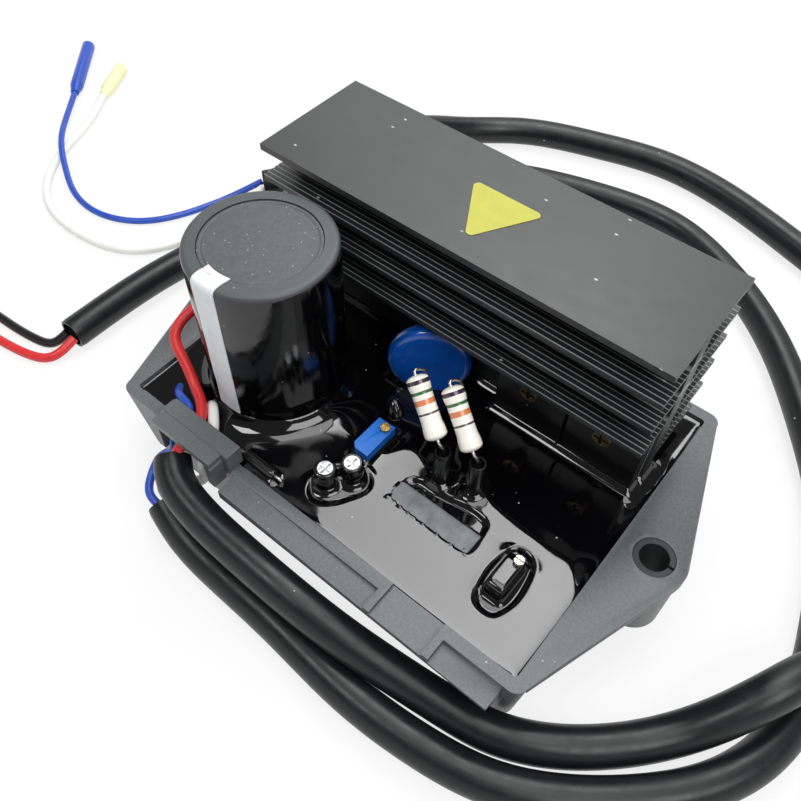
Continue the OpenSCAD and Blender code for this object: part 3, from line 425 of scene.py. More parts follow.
class ShaderTree:
    """A material's node tree with one principled shader."""

    def __init__(self, name: str) -> None:
        """Makes the material and its shader.

        Args:
            name: Name of the material.
        """
        self.material = bpy.data.materials.new(name)
        self.material.use_nodes = True
        self.tree = self.material.node_tree
        self.tree.nodes.clear()
        self.output = self.add("ShaderNodeOutputMaterial")
        self.shader = self.add("ShaderNodeBsdfPrincipled")
        self.join(self.shader.outputs["BSDF"], self.output.inputs["Surface"])

    def join(self, source: Socket, target: Socket) -> None:
        """Links two sockets."""
        self.tree.links.new(source, target)

    def feed(self, socket: Socket, value: object) -> None:
        """Gives an input a value, or links it where the value is a socket.

        Args:
            socket: The input.
            value: The value or the socket.
        """
        if isinstance(value, bpy.types.NodeSocket):
            self.join(value, socket)
        else:
            socket.default_value = value

    def add(
        self, kind: str, inputs: dict[str, object] | None = None, **settings: object
    ) -> bpy.types.Node:
        """Adds a node.

        Args:
            kind: The node's type.
            inputs: Values or sockets for its inputs.
            settings: Its properties.

        Returns:
            The node.
        """
        node = self.tree.nodes.new(kind)
        for key, value in settings.items():
            setattr(node, key, value)
        for key, value in (inputs or {}).items():
            self.feed(node.inputs[key], value)
        return node

    def place(self, stretch: Point) -> Socket:
        """Object coordinates in metres, stretched along each axis."""
        source = self.add("ShaderNodeTexCoord").outputs["Object"]
        return self.add("ShaderNodeMapping", {"Vector": source, "Scale": stretch}).outputs["Vector"]

    def along(self) -> Socket:
        """The piece's own attribute "along"."""
        return self.add("ShaderNodeAttribute", attribute_name="along").outputs["Fac"]

    def noise(self, place: Socket, size: float, detail: float = 3.0) -> Socket:
        """Noise with features of about a size in millimetres.

        Args:
            place: Where on the surface.
            size: Size of the features.
            detail: How many finer layers it has.

        Returns:
            The noise, from 0 to 1.
        """
        inputs = {
            "Vector": place, "Scale": 1.0 / (size * MM), "Detail": detail,
            "Roughness": NOISE_ROUGHNESS,
        }
        return self.add("ShaderNodeTexNoise", inputs).outputs["Fac"]

    def span(self, value: Socket, old: Pair, new: Pair) -> Socket:
        """A value moved from one range to another, with its ends held.

        Args:
            value: The value.
            old: Range that it comes from.
            new: Range that it goes to.

        Returns:
            The new value.
        """
        inputs = {
            "Value": value, "From Min": old[0], "From Max": old[1],
            "To Min": new[0], "To Max": new[1],
        }
        return self.add("ShaderNodeMapRange", inputs).outputs["Result"]

    def maths(self, kind: str, a: object, b: object) -> Socket:
        """One sum of two values.

        Args:
            kind: Which sum.
            a: First value or socket.
            b: Second value or socket.

        Returns:
            The result.
        """
        node = self.add("ShaderNodeMath", operation=kind)
        self.feed(node.inputs[0], a)
        self.feed(node.inputs[1], b)
        return node.outputs["Value"]

    def blend(self, share: object, first: object, second: object) -> Socket:
        """Two colours mixed by a share."""
        inputs = {"Fac": share, "Color1": first, "Color2": second}
        return self.add("ShaderNodeMixRGB", inputs).outputs["Color"]

    def specks(self, place: Socket, size: float, share: float) -> Socket:
        """Small spots in a share of the cells of a random pattern.

        Args:
            place: Where on the surface.
            size: Size of a cell in millimetres.
            share: Share of the cells that hold a spot.

        Returns:
            1 on a spot and 0 off it.
        """
        cells = self.add("ShaderNodeTexVoronoi", {"Vector": place, "Scale": 1.0 / (size * MM)})
        chance = self.add("ShaderNodeSeparateColor", {"Color": cells.outputs["Color"]})
        spot = self.span(cells.outputs["Distance"], SPOT_RANGE, (1.0, 0.0))
        chosen = self.maths("GREATER_THAN", chance.outputs["Red"], 1.0 - share)
        return self.maths("MULTIPLY", spot, chosen)


@dataclass(frozen=True)
class Finish:
    """A surface finish: colour with mottling and dust, roughness with wear, and a fine grain."""

    name: str
    colour: Colour
    roughness: float
    metallic: float = 0.0
    specular: float = 0.5
    coat: float = 0.0
    coat_roughness: float = 0.08
    grain: float = 0.4
    grain_height: float = 0.01
    mottle: float = 0.12
    mottle_size: float = 6.0
    wear: float = 0.06
    dust: float = 0.0
    dust_size: float = 1.6
    dust_colour: Colour = (205.0, 205.0, 200.0)
    stretch: Point = (1.0, 1.0, 1.0)
    pattern: Pattern = Pattern.PLAIN
    bands: tuple[tuple[float, Colour], ...] = ()
    # Colour on the marked edges: the matt rim of the can's sleeve, and the painted highlight on the
    # heat sink's fin crests.
    edge_and_highlight_colour: Colour = (120.0, 122.0, 123.0)
    edge_roughness: float = 0.5
    edge_and_highlight_span: Pair = (0.0, 1.0)

    def base(self, tree: ShaderTree, place: Socket) -> Socket:
        """The colour before the edge colour, which on the heat sink is a painted highlight, and
        dust: mottled, or in bands along the piece.

        Args:
            tree: The material's tree.
            place: Where on the surface.

        Returns:
            The colour socket.
        """
        colour = linear(self.colour)
        if self.pattern is Pattern.BANDS:
            ramp = tree.add("ShaderNodeValToRGB", {"Fac": tree.along()})
            ramp.color_ramp.interpolation = "CONSTANT"
            ramp.color_ramp.elements[0].color = colour
            ramp.color_ramp.elements[1].position = self.bands[0][0]
            ramp.color_ramp.elements[1].color = linear(self.bands[0][1])
            for start, band in self.bands[1:]:
                ramp.color_ramp.elements.new(start).color = linear(band)
            return ramp.outputs["Color"]
        low = tuple(c * (1.0 - self.mottle) for c in colour[:3]) + (1.0,)
        high = tuple(min(c * (1.0 + self.mottle), 1.0) for c in colour[:3]) + (1.0,)
        share = tree.span(tree.noise(place, self.mottle_size), MOTTLE_RANGE, (0.0, 1.0))
        return tree.blend(share, low, high)

    def material(self) -> bpy.types.Material:
        """Builds the material.

        Returns:
            The material.
        """
        tree = ShaderTree(self.name)
        shader = tree.shader.inputs
        place = tree.place(self.stretch)
        colour = self.base(tree, place)
        worn = (max(self.roughness - self.wear, 0.0), self.roughness + self.wear)
        rough = tree.span(tree.noise(place, self.mottle_size * ROUGH_SCALE), MOTTLE_RANGE, worn)
        # The marked edges take the edge colour; on the heat sink that is a painted highlight along
        # the fin crests.
        if self.pattern is Pattern.EDGES_AND_HIGHLIGHTS:
            edge = tree.span(tree.along(), self.edge_and_highlight_span, (0.0, 1.0))
            colour = tree.blend(edge, colour, linear(self.edge_and_highlight_colour))
            rough = tree.maths("MAXIMUM", rough, tree.maths("MULTIPLY", edge, self.edge_roughness))
        if self.dust > 0.0:
            spot = tree.specks(place, self.dust_size, self.dust)
            colour = tree.blend(spot, colour, linear(self.dust_colour))
            rough = tree.maths("MAXIMUM", rough, tree.maths("MULTIPLY", spot, DUST_ROUGHNESS))
        tree.join(colour, shader["Base Color"])
        tree.join(rough, shader["Roughness"])
        inputs = {
            "Height": tree.noise(place, self.grain, GRAIN_DETAIL),
            "Distance": self.grain_height * MM, "Strength": 1.0,
        }
        tree.join(tree.add("ShaderNodeBump", inputs).outputs["Normal"], shader["Normal"])
        shader["Metallic"].default_value = self.metallic
        shader["Specular IOR Level"].default_value = self.specular
        shader["Coat Weight"].default_value = self.coat
        shader["Coat Roughness"].default_value = self.coat_roughness
        return tree.material


@lru_cache(maxsize=None)
def material_of(finish: Finish) -> bpy.types.Material:
    """The material of a finish, made once."""
    return finish.material()


CREAM: Colour = (252.0, 248.0, 238.0)
CASE_PLASTIC = Finish(
    "case_plastic", (90, 94, 95), 0.45, specular=0.75, grain=0.3, grain_height=0.03,
    mottle=0.2, mottle_size=0.7, dust=0.12, dust_size=2.2,
)
CLAMP_PLASTIC = Finish(
    "clamp_plastic", (92, 96, 97), 0.42, specular=0.8, grain=0.5, grain_height=0.012,
    mottle_size=0.8, dust=0.06,
)
BUSH_STEEL = Finish(
    "bush_steel", (52, 55, 56), 0.5, metallic=0.35, grain=0.3, mottle=0.25, mottle_size=1.5,
    stretch=(1, 1, 0.2),
)
RESIN = Finish(
    "potting_resin", (6, 6, 8), 0.06, specular=0.75, grain=3.0, grain_height=0.006, wear=0.03,
    mottle_size=14, dust=0.05, dust_size=2.0,
)
RESIN_SKIN = Finish(
    "resin_skin", (8, 8, 10), 0.07, specular=0.75, grain=2.0, grain_height=0.03, wear=0.03,
    dust=0.06,
)
LAMINATE = Finish("board_laminate", (26, 84, 48), 0.45, mottle_size=2.0)
TINNED = Finish("tinned_wire", (196, 195, 190), 0.28, metallic=1.0, grain=0.2, mottle_size=1.0)
# Black anodised heat sink; its pale edge colour is a painted highlight along the crests of the fin
# ridges.
ANODISED = Finish(
    "black_anodised", (34, 36, 37), 0.4, specular=0.7, grain=0.3, grain_height=0.012,
    mottle=0.06, mottle_size=9.0, wear=0.03, dust=0.14, dust_size=2.6, stretch=(0.6, 1, 1),
    pattern=Pattern.EDGES_AND_HIGHLIGHTS, edge_and_highlight_colour=(170, 174, 175), edge_roughness=0.3,
    edge_and_highlight_span=(0.75, 0.97),
)
PACKAGE = Finish("package_moulding", (6, 6, 9), 0.4, grain=0.25, grain_height=0.015, dust=0.08)
PAD = Finish("insulating_pad", (190, 190, 184), 0.7)
YELLOW_SCREW = Finish(
    "yellow_screw", (112, 100, 74), 0.4, metallic=0.9, grain=0.5, grain_height=0.08, mottle=0.5,
    mottle_size=0.5,
)
CAN_SLEEVE = Finish(
    "can_sleeve", (5, 5, 7), 0.12, specular=0.6, grain=6.0, grain_height=0.05, wear=0.05,
    mottle_size=8.0, dust=0.05, pattern=Pattern.EDGES_AND_HIGHLIGHTS, edge_and_highlight_colour=(74, 78, 79),
    edge_roughness=0.5,
)
CAN_DISC = Finish(
    "can_disc", (78, 82, 83), 0.52, specular=0.6, grain=0.3, grain_height=0.03, mottle=0.16,
    mottle_size=1.2, dust=0.45, dust_size=1.2,
)
TAPE = Finish(
    "white_tape", (232, 236, 240), 0.45, grain=0.8, grain_height=0.03, mottle=0.05,
    mottle_size=3.0,
)
BLUE_COATING = Finish(
    "blue_coating", (6, 78, 170), 0.2, coat=0.5, grain=2.0, grain_height=0.05, mottle=0.14,
    mottle_size=5.0,
)
LACQUER = Finish(
    "resistor_lacquer", CREAM, 0.24, coat=0.4, grain=1.2, grain_height=0.02,
    pattern=Pattern.BANDS,
    bands=(
        (0.40, (84, 74, 72)), (0.43, CREAM), (0.55, (222, 134, 88)), (0.63, CREAM),
        (0.71, (52, 104, 66)), (0.755, CREAM), (0.86, (62, 44, 62)), (0.925, CREAM),
    ),
)
BLACK_SLEEVE = Finish("black_lead_sleeve", (20, 20, 21), 0.2, grain=0.8, grain_height=0.02)
BLUE_PLASTIC = Finish(
    "blue_moulding", (20, 108, 206), 0.36, grain=0.3, grain_height=0.008, mottle=0.08,
)
BRASS = Finish(
    "adjuster_brass", (206, 176, 108), 0.24, metallic=1.0, grain=0.2, mottle=0.2,
    mottle_size=0.6,
)
SILVER_SCREW = Finish(
    "adjuster_silver", (196, 194, 186), 0.26, metallic=1.0, grain=0.2, mottle=0.25,
    mottle_size=0.6,
)
BARE_METAL = Finish(
    "bare_aluminium", (214, 215, 218), 0.3, metallic=1.0, grain=0.25, mottle=0.1,
    mottle_size=1.0,
)
GREY_FILM = Finish(
    "grey_film", (124, 128, 128), 0.6, grain=0.5, grain_height=0.04, mottle=0.25,
    mottle_size=3.0, dust=0.3, dust_size=2.4, dust_colour=(12, 12, 14),
)
DIODE_BODY = Finish("diode_body", (26, 26, 27), 0.16, specular=0.6, grain=1.0)
YELLOW_LABEL = Finish(
    "yellow_label", (182, 181, 54), 0.42, grain=0.5, mottle=0.05, mottle_size=3.0, dust=0.1,
)
RED_PVC = Finish("red_wire", (212, 46, 48), 0.34, grain=0.8, mottle=0.1)
BLACK_PVC = Finish("black_wire", (26, 26, 27), 0.3, grain=0.8)
WHITE_PVC = Finish("white_wire", (240, 240, 236), 0.36, grain=0.8, mottle=0.03)
BLUE_PVC = Finish("blue_wire", (42, 80, 184), 0.32, grain=0.8, mottle=0.1)
SLEEVE_PVC = Finish(
    "cable_sleeve", (22, 24, 25), 0.34, specular=0.4, grain=1.8, grain_height=0.02, wear=0.07,
    mottle_size=9.0, dust=0.05, dust_size=2.4,
)
PALE_COVER = Finish("pale_cover", (244, 240, 190), 0.34, grain=0.8, mottle=0.03)


def settle(
    piece: Piece, finish: Finish, node: str | None = None,
    body: Body = Body.REGULATOR,
) -> Piece:
    """Dresses a new piece and joins it to the frame.

    Args:
        piece: The piece.
        finish: Its finish.
        node: The CAD node that it stands for, if any.
        body: The body that it rides on.

    Returns:
        The piece.
    """
    piece.data.materials.clear()
    piece.data.materials.append(material_of(finish))
    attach(piece, body.value)
    if node:
        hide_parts(node)
    LOG.info("%s: %d points, %s", piece.name, len(piece.data.vertices), finish.name)
    return piece


def ease_node(
    node: str, width: float, finish: Finish, segments: int = 2,
    body: Body = Body.REGULATOR,
) -> Piece:
    """Stands a dressed copy with rounded edges in for a CAD node.

    Args:
        node: Name of the node.
        width: Width of the rounding in millimetres.
        finish: Its finish.
        segments: Number of steps across the rounding.
        body: The body that it rides on.

    Returns:
        The copy.
    """
    return settle(eased_copy(node, width, segments), finish, node, body)


def dress_node(node: str, finish: Finish) -> None:
    """Gives a CAD node that stays in view its finish.

    Args:
        node: Name of the node.
        finish: Its finish.
    """
    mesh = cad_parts[node].data
    mesh.materials.clear()
    mesh.materials.append(material_of(finish))
    LOG.info("%s: kept, %s", node, finish.name)


def corners(node: str) -> tuple[Array, Array]:
    """A CAD node's lowest and highest corners in millimetres."""
    low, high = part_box(node)
    return np.asarray(low, float) / MM, np.asarray(high, float) / MM


# Sub-assemblies


@dataclass(frozen=True)
class Softbox:
    """A lamp that faces the tray.

    Its azimuth counts in degrees from +X towards +Y, and its elevation in degrees from the floor.
    Its distance, width and height are in metres. Its level is the brightness of its face, where 1
    is white, and its fall is the share of that at one side and at the other.
    """

    name: str
    azimuth: float
    elevation: float
    distance: float
    size: Pair
    level: float
    fall: Pair = (1.0, 1.0)

    def grade(self, data: bpy.types.AreaLight) -> None:
        """Lets the brightness change evenly from one side of the lamp to the other.

        Args:
            data: The lamp's data.
        """
        data.use_nodes = True
        tree = data.node_tree
        face = tree.nodes.new("ShaderNodeNewGeometry")
        across = tree.nodes.new("ShaderNodeSeparateXYZ")
        ramp = tree.nodes.new("ShaderNodeMapRange")
        ramp.inputs["To Min"].default_value, ramp.inputs["To Max"].default_value = self.fall
        tree.links.new(face.outputs["Parametric"], across.inputs["Vector"])
        tree.links.new(across.outputs["X"], ramp.inputs["Value"])
        tree.links.new(ramp.outputs["Result"], tree.nodes["Emission"].inputs["Strength"])

    def build(self) -> None:
        """Makes the lamp and places it along its direction."""
        width, height = self.size
        data = bpy.data.lights.new(self.name, "AREA")
        data.shape, data.size, data.size_y = "RECTANGLE", width, height
        data.energy = self.level * math.pi * width * height
        if self.fall[0] != self.fall[1]:
            self.grade(data)
        a, e = math.radians(self.azimuth), math.radians(self.elevation)
        way = Vector((math.cos(a) * math.cos(e), math.sin(a) * math.cos(e), math.sin(e)))
        lamp = bpy.data.objects.new(self.name, data)
        lamp.location = way * self.distance
        lamp.rotation_euler = way.to_track_quat("Z", "Y").to_euler()
        bpy.context.scene.collection.objects.link(lamp)


@dataclass
class Studio:
    """The camera, the floor and the lamps. The floor's sizes are in metres."""

    focal_px: float = 827.787
    image_px: float = 801.0
    azimuth: float = 38.099
    elevation: float = 53.257
    roll: float = 1.532
    eye: Point = (74.407, -102.739, 193.779)
    sensor: float = 36.0
    near: float = 0.01
    floor_r: float = 3.0
    cove: float = 0.6
    wall_h: float = 1.3
    floor_drop: float = 0.00002
    floor_grey: float = 0.86
    floor_rough: float = 0.8
    floor_gloss: float = 0.1
    floor_glow: float = 0.8
    world: float = 0.16
    lamps: tuple[Softbox, ...] = (
        Softbox(
            "window", azimuth=115.0, elevation=61.7, distance=0.8, size=(0.36, 0.37), level=8.0,
            fall=(0.95, 0.62),
        ),
        Softbox(
            "rear_panel", azimuth=114.0, elevation=37.0, distance=1.0, size=(0.95, 0.22),
            level=2.6,
        ),
        Softbox(
            "front_key", azimuth=240.0, elevation=60.0, distance=1.0, size=(0.30, 0.22),
            level=8.5,
        ),
        Softbox(
            "right_fill", azimuth=-18.0, elevation=52.0, distance=1.1, size=(0.6, 0.5), level=5.2,
        ),
        Softbox(
            "top_panel", azimuth=20.0, elevation=84.0, distance=1.0, size=(0.5, 0.5), level=3.6,
        ),
    )

    def camera(self) -> None:
        """Places the camera as it was solved from the picture's corners."""
        a, e, r = np.radians([self.azimuth, self.elevation, self.roll])
        ahead = np.array([-np.sin(a) * np.cos(e), np.cos(a) * np.cos(e), -np.sin(e)])
        right = np.array([np.cos(a), np.sin(a), 0.0])
        up = np.cross(right, ahead)
        data = bpy.data.cameras.new("camera")
        data.sensor_width, data.sensor_fit = self.sensor, "HORIZONTAL"
        data.lens = self.sensor * self.focal_px / self.image_px
        data.clip_start = self.near
        camera = bpy.data.objects.new("camera", data)
        matrix = np.eye(4)
        matrix[:3, 0] = np.cos(r) * right + np.sin(r) * up
        matrix[:3, 1] = np.cos(r) * up - np.sin(r) * right
        matrix[:3, 2] = -ahead
        matrix[:3, 3] = np.asarray(self.eye) * MM
        camera.matrix_world = Matrix(matrix.tolist())
        bpy.context.scene.collection.objects.link(camera)
        bpy.context.scene.camera = camera

    def seen(self, tree: ShaderTree) -> Socket:
        """Whether a ray comes from the camera, a reflection or through glass.

        Args:
            tree: The material's tree.

        Returns:
            1 for such a ray and 0 for others.
        """
        ray = tree.add("ShaderNodeLightPath").outputs
        direct = tree.maths("MAXIMUM", ray["Is Camera Ray"], ray["Is Glossy Ray"])
        return tree.maths("MAXIMUM", direct, ray["Is Transmission Ray"])

    def floor(self) -> None:
        """A round white floor that curves up into a low wall, turned from one profile.

        The profile is flat out to the cove, follows a quarter circle and ends in an upright wall.
        It glows to rays that see it and keeps a soft shadow.
        """
        t = np.linspace(0.0, math.pi / 2, 24)
        inner = self.floor_r - self.cove
        out = np.linspace(0.0, inner, 40, endpoint=False)
        r = np.concatenate([out, inner + self.cove * np.sin(t), [self.floor_r]])
        z = np.concatenate([0 * out, self.cove * (1 - np.cos(t)), [self.wall_h]])
        profile = np.stack([r, z - self.floor_drop], -1) / MM
        piece = Shape().add(revolve(profile, sides=96), caps=False).build("floor")
        tree = ShaderTree("white_floor")
        shader = tree.shader.inputs
        shader["Base Color"].default_value = (*[self.floor_grey] * 3, 1.0)
        shader["Roughness"].default_value = self.floor_rough
        shader["Specular IOR Level"].default_value = self.floor_gloss
        glow = tree.add("ShaderNodeEmission", {"Color": WHITE, "Strength": 1.0})
        share = tree.maths("MULTIPLY", self.seen(tree), self.floor_glow)
        mix = tree.add("ShaderNodeMixShader", {"Fac": share})
        tree.join(tree.shader.outputs["BSDF"], mix.inputs[1])
        tree.join(glow.outputs["Emission"], mix.inputs[2])
        tree.join(mix.outputs["Shader"], tree.output.inputs["Surface"])
        piece.data.materials.append(tree.material)

    def sky(self) -> None:
        """An even grey world above the wall."""
        world = bpy.data.worlds.new("studio")
        bpy.context.scene.world = world
        world.use_nodes = True
        back = world.node_tree.nodes["Background"]
        back.inputs["Color"].default_value = WHITE
        back.inputs["Strength"].default_value = self.world

    def build(self) -> None:
        """Sets the whole stage."""
        bpy.context.scene.view_settings.view_transform = "Standard"
        self.camera()
        self.floor()
        self.sky()
        for lamp in self.lamps:
            lamp.build()


class CordKind(Enum):
    """How thick each kind of cable is, in millimetres."""

    SLEEVE = 9.5
    WIRE = 2.8
    THIN = 2.2


class FarEnd(Enum):
    """What is on a cable's far end."""

    BARE = "bare"
    CONNECTOR = "connector"


@dataclass(frozen=True)
class Wire:
    """One wire: its lead inside the tray, its tail on the table and the tail's insulated end."""

    colour: str
    kind: CordKind
    finish: Finish
    slot: str
    end_finish: Finish
    end_slot: str
    end_l: float
    lead: Route
    tail: Route


RED_WIRE = Wire(
    "red", CordKind.WIRE, RED_PVC, "red_pvc", RED_PVC, "red_pvc", end_l=20.0,
    lead=(
        (-55, -2, 20), (-55.3, -5.5, 26), (-56, -12, 34), (-56.5, -22, 37.5), (-56.5, -29.5, 34),
        (-50.5, -32.5, 30), (-45, -34.8, 27), (-40, -37.5, 26.2), (-36.3, -43, 25.4),
        (-36, -46.3, 25.2), (-36.1, -48.6, 23.8), (-36.2, -50.5, 22.1), (-33.5, -53.2, 20.6),
    ),
    tail=(
        (-102.4, -36.4, 4.6), (-104, -44.5, 2), (-112, -48.5, 1.5), (-124, -50.5, 1.5),
        (-136, -52, 1.5), (-152, -56, 2.6),
    ),
)
BLACK_WIRE = Wire(
    "black", CordKind.WIRE, BLACK_PVC, "black_pvc", BLACK_PVC, "black_pvc", end_l=20.0,
    lead=(
        (-50.6, -31, 20.5), (-47.5, -33.6, 23.8), (-44.5, -35.8, 23.6), (-40.3, -39.5, 23.3),
        (-38.6, -43.5, 23.4), (-38.1, -46.3, 22.9), (-38.2, -48.4, 20.2), (-37.7, -50.9, 18.3),
        (-34.8, -53.4, 17.4),
    ),
    tail=(
        (-105.8, -36.4, 4.6), (-107.6, -40.5, 2.4), (-114, -43, 1.5), (-124, -44.3, 1.5),
        (-134, -45, 1.5), (-152, -48, 2.6),
    ),
)
WHITE_WIRE = Wire(
    "white", CordKind.WIRE, WHITE_PVC, "white_pvc", PALE_COVER, "terminal_cover", end_l=20.0,
    lead=(
        (-41.6, -34, 20.5), (-38.6, -35.5, 24.4), (-34.5, -39, 24.2), (-31.5, -43, 24.1),
        (-30.3, -46, 23.6), (-29.9, -47.6, 21), (-30.8, -47.5, 14.5), (-34.8, -50, 10.4),
        (-39, -52.6, 10), (-39.7, -54.8, 9.8), (-37.2, -56, 9.4), (-34.6, -56.4, 9.0),
        (-31, -57, 7.8),
    ),
    tail=(
        (-108.8, 49.6, 4.6), (-111, 38, 1.5), (-113, 14, 1.5), (-122, 1, 1.5), (-140, -5, 1.5),
        (-163, -2, 1.5), (-180, 14, 1.5), (-190, 36, 1.5), (-198, 50, 2.6),
    ),
)
BLUE_WIRE = Wire(
    "blue", CordKind.THIN, BLUE_PVC, "blue_pvc", BLUE_PVC, "blue_pvc", end_l=34.0,
    lead=(
        (-52.6, -34.5, 20.5), (-48.5, -37.8, 24), (-44.5, -38.9, 25.3), (-41.9, -40, 25.4),
        (-40.6, -43.5, 25.2), (-40.6, -46.5, 23.6), (-40.7, -48, 18.6), (-44.5, -50.5, 13.5),
        (-44, -54.5, 10.8), (-40.5, -58.5, 9.6), (-35.5, -59.1, 8.7), (-31.5, -59.6, 7.4),
    ),
    tail=(
        (-111.6, 51.9, 4.6), (-117.5, 40, 1.4), (-122, 27, 1.2), (-131, 13, 1.2), (-145, 6, 1.2),
        (-163, 8, 1.6), (-172, 12.5, 3), (-183, 19.5, 4.5), (-195, 30, 3.4), (-208, 44, 2.6),
    ),
)


@dataclass
class Cables:
    """The cable sleeves on the table, the leads inside and the wire tails with their ends."""

    upper: Route = (
        (-37.6, -50.7, 20), (-34.2, -53.4, 19), (-25, -56.1, 17.4), (-9, -57, 16), (8, -57, 14.8),
        (22, -56, 12.2), (34, -54.2, 9.2), (49, -51.6, 6.2), (61, -48.8, 4.75), (72, -43.2, 4.75),
        (84, -33, 4.75), (95, -20, 8), (103, -7, 15), (108, 3, 15.5), (115, 15, 12.5),
        (119, 34, 6), (119, 62, 4.75), (110, 98, 4.75), (86, 126, 4.75), (50, 142, 4.75),
        (20, 151, 4.75), (-8, 153, 4.75), (-32, 147, 4.75), (-58, 136, 4.75), (-74, 120, 6.5),
        (-82, 101, 13), (-86, 84, 15), (-89, 66, 13.4), (-94, 44, 6), (-102, 6, 4.75),
        (-104, -36, 4.75),
    )
    lower: Route = (
        (-36, -57.5, 9), (-27, -59.7, 6.2), (-14, -60.8, 4.75), (8, -61.5, 4.75),
        (29, -62.8, 4.75), (51, -61.3, 4.75), (66, -57.7, 4.75), (79, -50.8, 4.75),
        (92, -40.3, 4.75), (103, -27.5, 4.75), (109, -14, 4.75), (110.5, 0, 4.75),
        (106.5, 22, 4.75), (98, 47, 4.75), (80, 75, 4.75), (58, 100, 4.75), (34, 117, 4.75),
        (12, 125, 4.75), (-16, 122, 4.75), (-42, 113, 4.75), (-65, 99, 4.75), (-84, 82, 4.75),
        (-110, 51, 4.75),
    )
    wires: tuple[Wire, ...] = (RED_WIRE, BLACK_WIRE, WHITE_WIRE, BLUE_WIRE)
    upper_points: int = 40
    lower_points: int = 36
    tail_points: int = 24
    table_gap: float = 0.05
    sleeve_step: float = 1.5
    lead_step: float = 0.5
    tail_step: float = 0.7
    sleeve_sides: int = 32
    wire_sides: int = 20
    mouth_wall: float = 0.9
    mouth_points: int = 7
    mouth_lip: float = 0.2
    cover_d: float = 5.0
    cover_mouth: float = 5.0

    def path(self, route: Route, kind: CordKind, step: float) -> Array:
        """A route's smooth curve, held above the table by the cable's radius.

        Args:
            route: The points that it follows.
            kind: The cable's thickness.
            step: Step along the curve in millimetres.

        Returns:
            Points on the curve.
        """
        line = smooth_route(route, step)
        line[:, 2] = np.maximum(line[:, 2], kind.value / 2 + self.table_gap)
        return line

    def sleeve(self, name: str, route: Route) -> None:
        """A black sleeve with open mouths.

        Args:
            name: The CAD node that it stands for.
            route: The points that it follows.
        """
        kind = CordKind.SLEEVE
        line = self.path(route, kind, self.sleeve_step)
        r = kind.value / 2
        grid = open_tube(
            line, r, r - self.mouth_wall, self.mouth_points, self.mouth_lip, self.sleeve_sides
        )
        piece = Shape().add(grid).build(f"{name}_tube", sharp=50)
        settle(piece, SLEEVE_PVC, name)

    def lead(self, wire: Wire) -> None:
        """A wire inside the tray, from the resin into the mouth of its sleeve.

        Args:
            wire: The wire.
        """
        name = f"{wire.colour}_lead"
        line = smooth_route(wire.lead, self.lead_step)
        grid = sweep(line, wire.kind.value / 2, self.wire_sides)
        settle(Shape().add(grid).build(f"{name}_wire", sharp=60), wire.finish, name)

    def cover(self, wire: Wire) -> Piece:
        """The insulated end of a tail: a slim barrel with a narrowed neck and an open end.

        A profile of radius and height, turned round the direction in which the tail ends.

        Args:
            wire: The wire that it ends.

        Returns:
            The end piece.
        """
        last, before = np.asarray(wire.tail[-1], float), np.asarray(wire.tail[-2], float)
        way = unit((last - before) * np.array([1.0, 1.0, 0.0]))
        r, length = self.cover_d / 2, wire.end_l
        profile = eased_profile(
            [
                (0, 0.4), (r * 0.62, 0), (r * 0.72, 2.2), (r, 4.5), (r, length),
                (r * 0.72, length), (r * 0.66, length - self.cover_mouth),
                (0, length - self.cover_mouth),
            ],
            [0, 0.5, 1.0, 1.6, 0.4, 0.3, 0.4, 0],
        )
        grid = aim(revolve(profile, sides=32), tuple(last), tuple(way))
        piece = Shape().add(grid).build(f"{wire.colour}_end", sharp=50)
        return settle(piece, wire.end_finish, "terminals")

    def tail(self, wire: Wire, cover: Piece) -> None:
        """A wire tail on the table.

        Args:
            wire: The wire.
            cover: Its insulated end; not used.
        """
        name = f"{wire.colour}_tail"
        line = self.path(wire.tail, wire.kind, self.tail_step)
        grid = sweep(line, wire.kind.value / 2, self.wire_sides)
        piece = Shape().add(grid).build(f"{name}_wire", sharp=60)
        settle(piece, wire.finish, name)

    def build(self) -> None:
        """Makes every cable."""
        self.sleeve("upper_sleeve", self.upper)
        self.sleeve("lower_sleeve", self.lower)
        for wire in self.wires:
            self.lead(wire)
        covers = [self.cover(wire) for wire in self.wires]
        for wire, cover in zip(self.wires, covers):
            self.tail(wire, cover)


@dataclass
class Tray:
    """The moulded tray with its bushes, cable bridge and clamp."""

    case_edge: float = 0.35
    clip_edge: float = 0.45
    bush_edge: float = 0.3
    edge_steps: int = 3

    def build(self) -> None:
        """Rounds the edges of the tray's mouldings and dresses them."""
        ease_node("case", self.case_edge, CASE_PLASTIC)
        for node in ("cable_bridge", "cable_clamp"):
            ease_node(node, self.clip_edge, CLAMP_PLASTIC, self.edge_steps)
        ease_node("ear_bushes", self.bush_edge, BUSH_STEEL, self.edge_steps)


def outside_gap(x: Array, y: Array, low: Array, high: Array) -> Array:
    """Distance in plan from an upright box, 0 inside it.

    Args:
        x: Places along the tray.
        y: Places across the tray.
        low: The box's lowest corner.
        high: The box's highest corner.

    Returns:
        The distance at each place.
    """
    along = np.maximum(np.maximum(low[0] - x, x - high[0]), 0)
    across = np.maximum(np.maximum(low[1] - y, y - high[1]), 0)
    return np.hypot(along, across)


def inside_gap(x: Array, y: Array, low: Array, high: Array) -> Array:
    """Distance in plan from the nearest side of an upright box, negative outside it.

    Args:
        x: Places along the tray.
        y: Places across the tray.
        low: The box's lowest corner.
        high: The box's highest corner.

    Returns:
        The distance at each place.
    """
    along = np.minimum(x - low[0], high[0] - x)
    return np.minimum(along, np.minimum(y - low[1], high[1] - y))


@dataclass(frozen=True)
class Meniscus:
    """How resin climbs an upright face: rise times e to the power of minus gap over reach."""

    rise: float
    reach: float

    def at(self, gap: Array) -> Array:
        """Height of the resin at each gap from the face."""
        return self.rise * np.exp(-np.maximum(gap, 0) / self.reach)


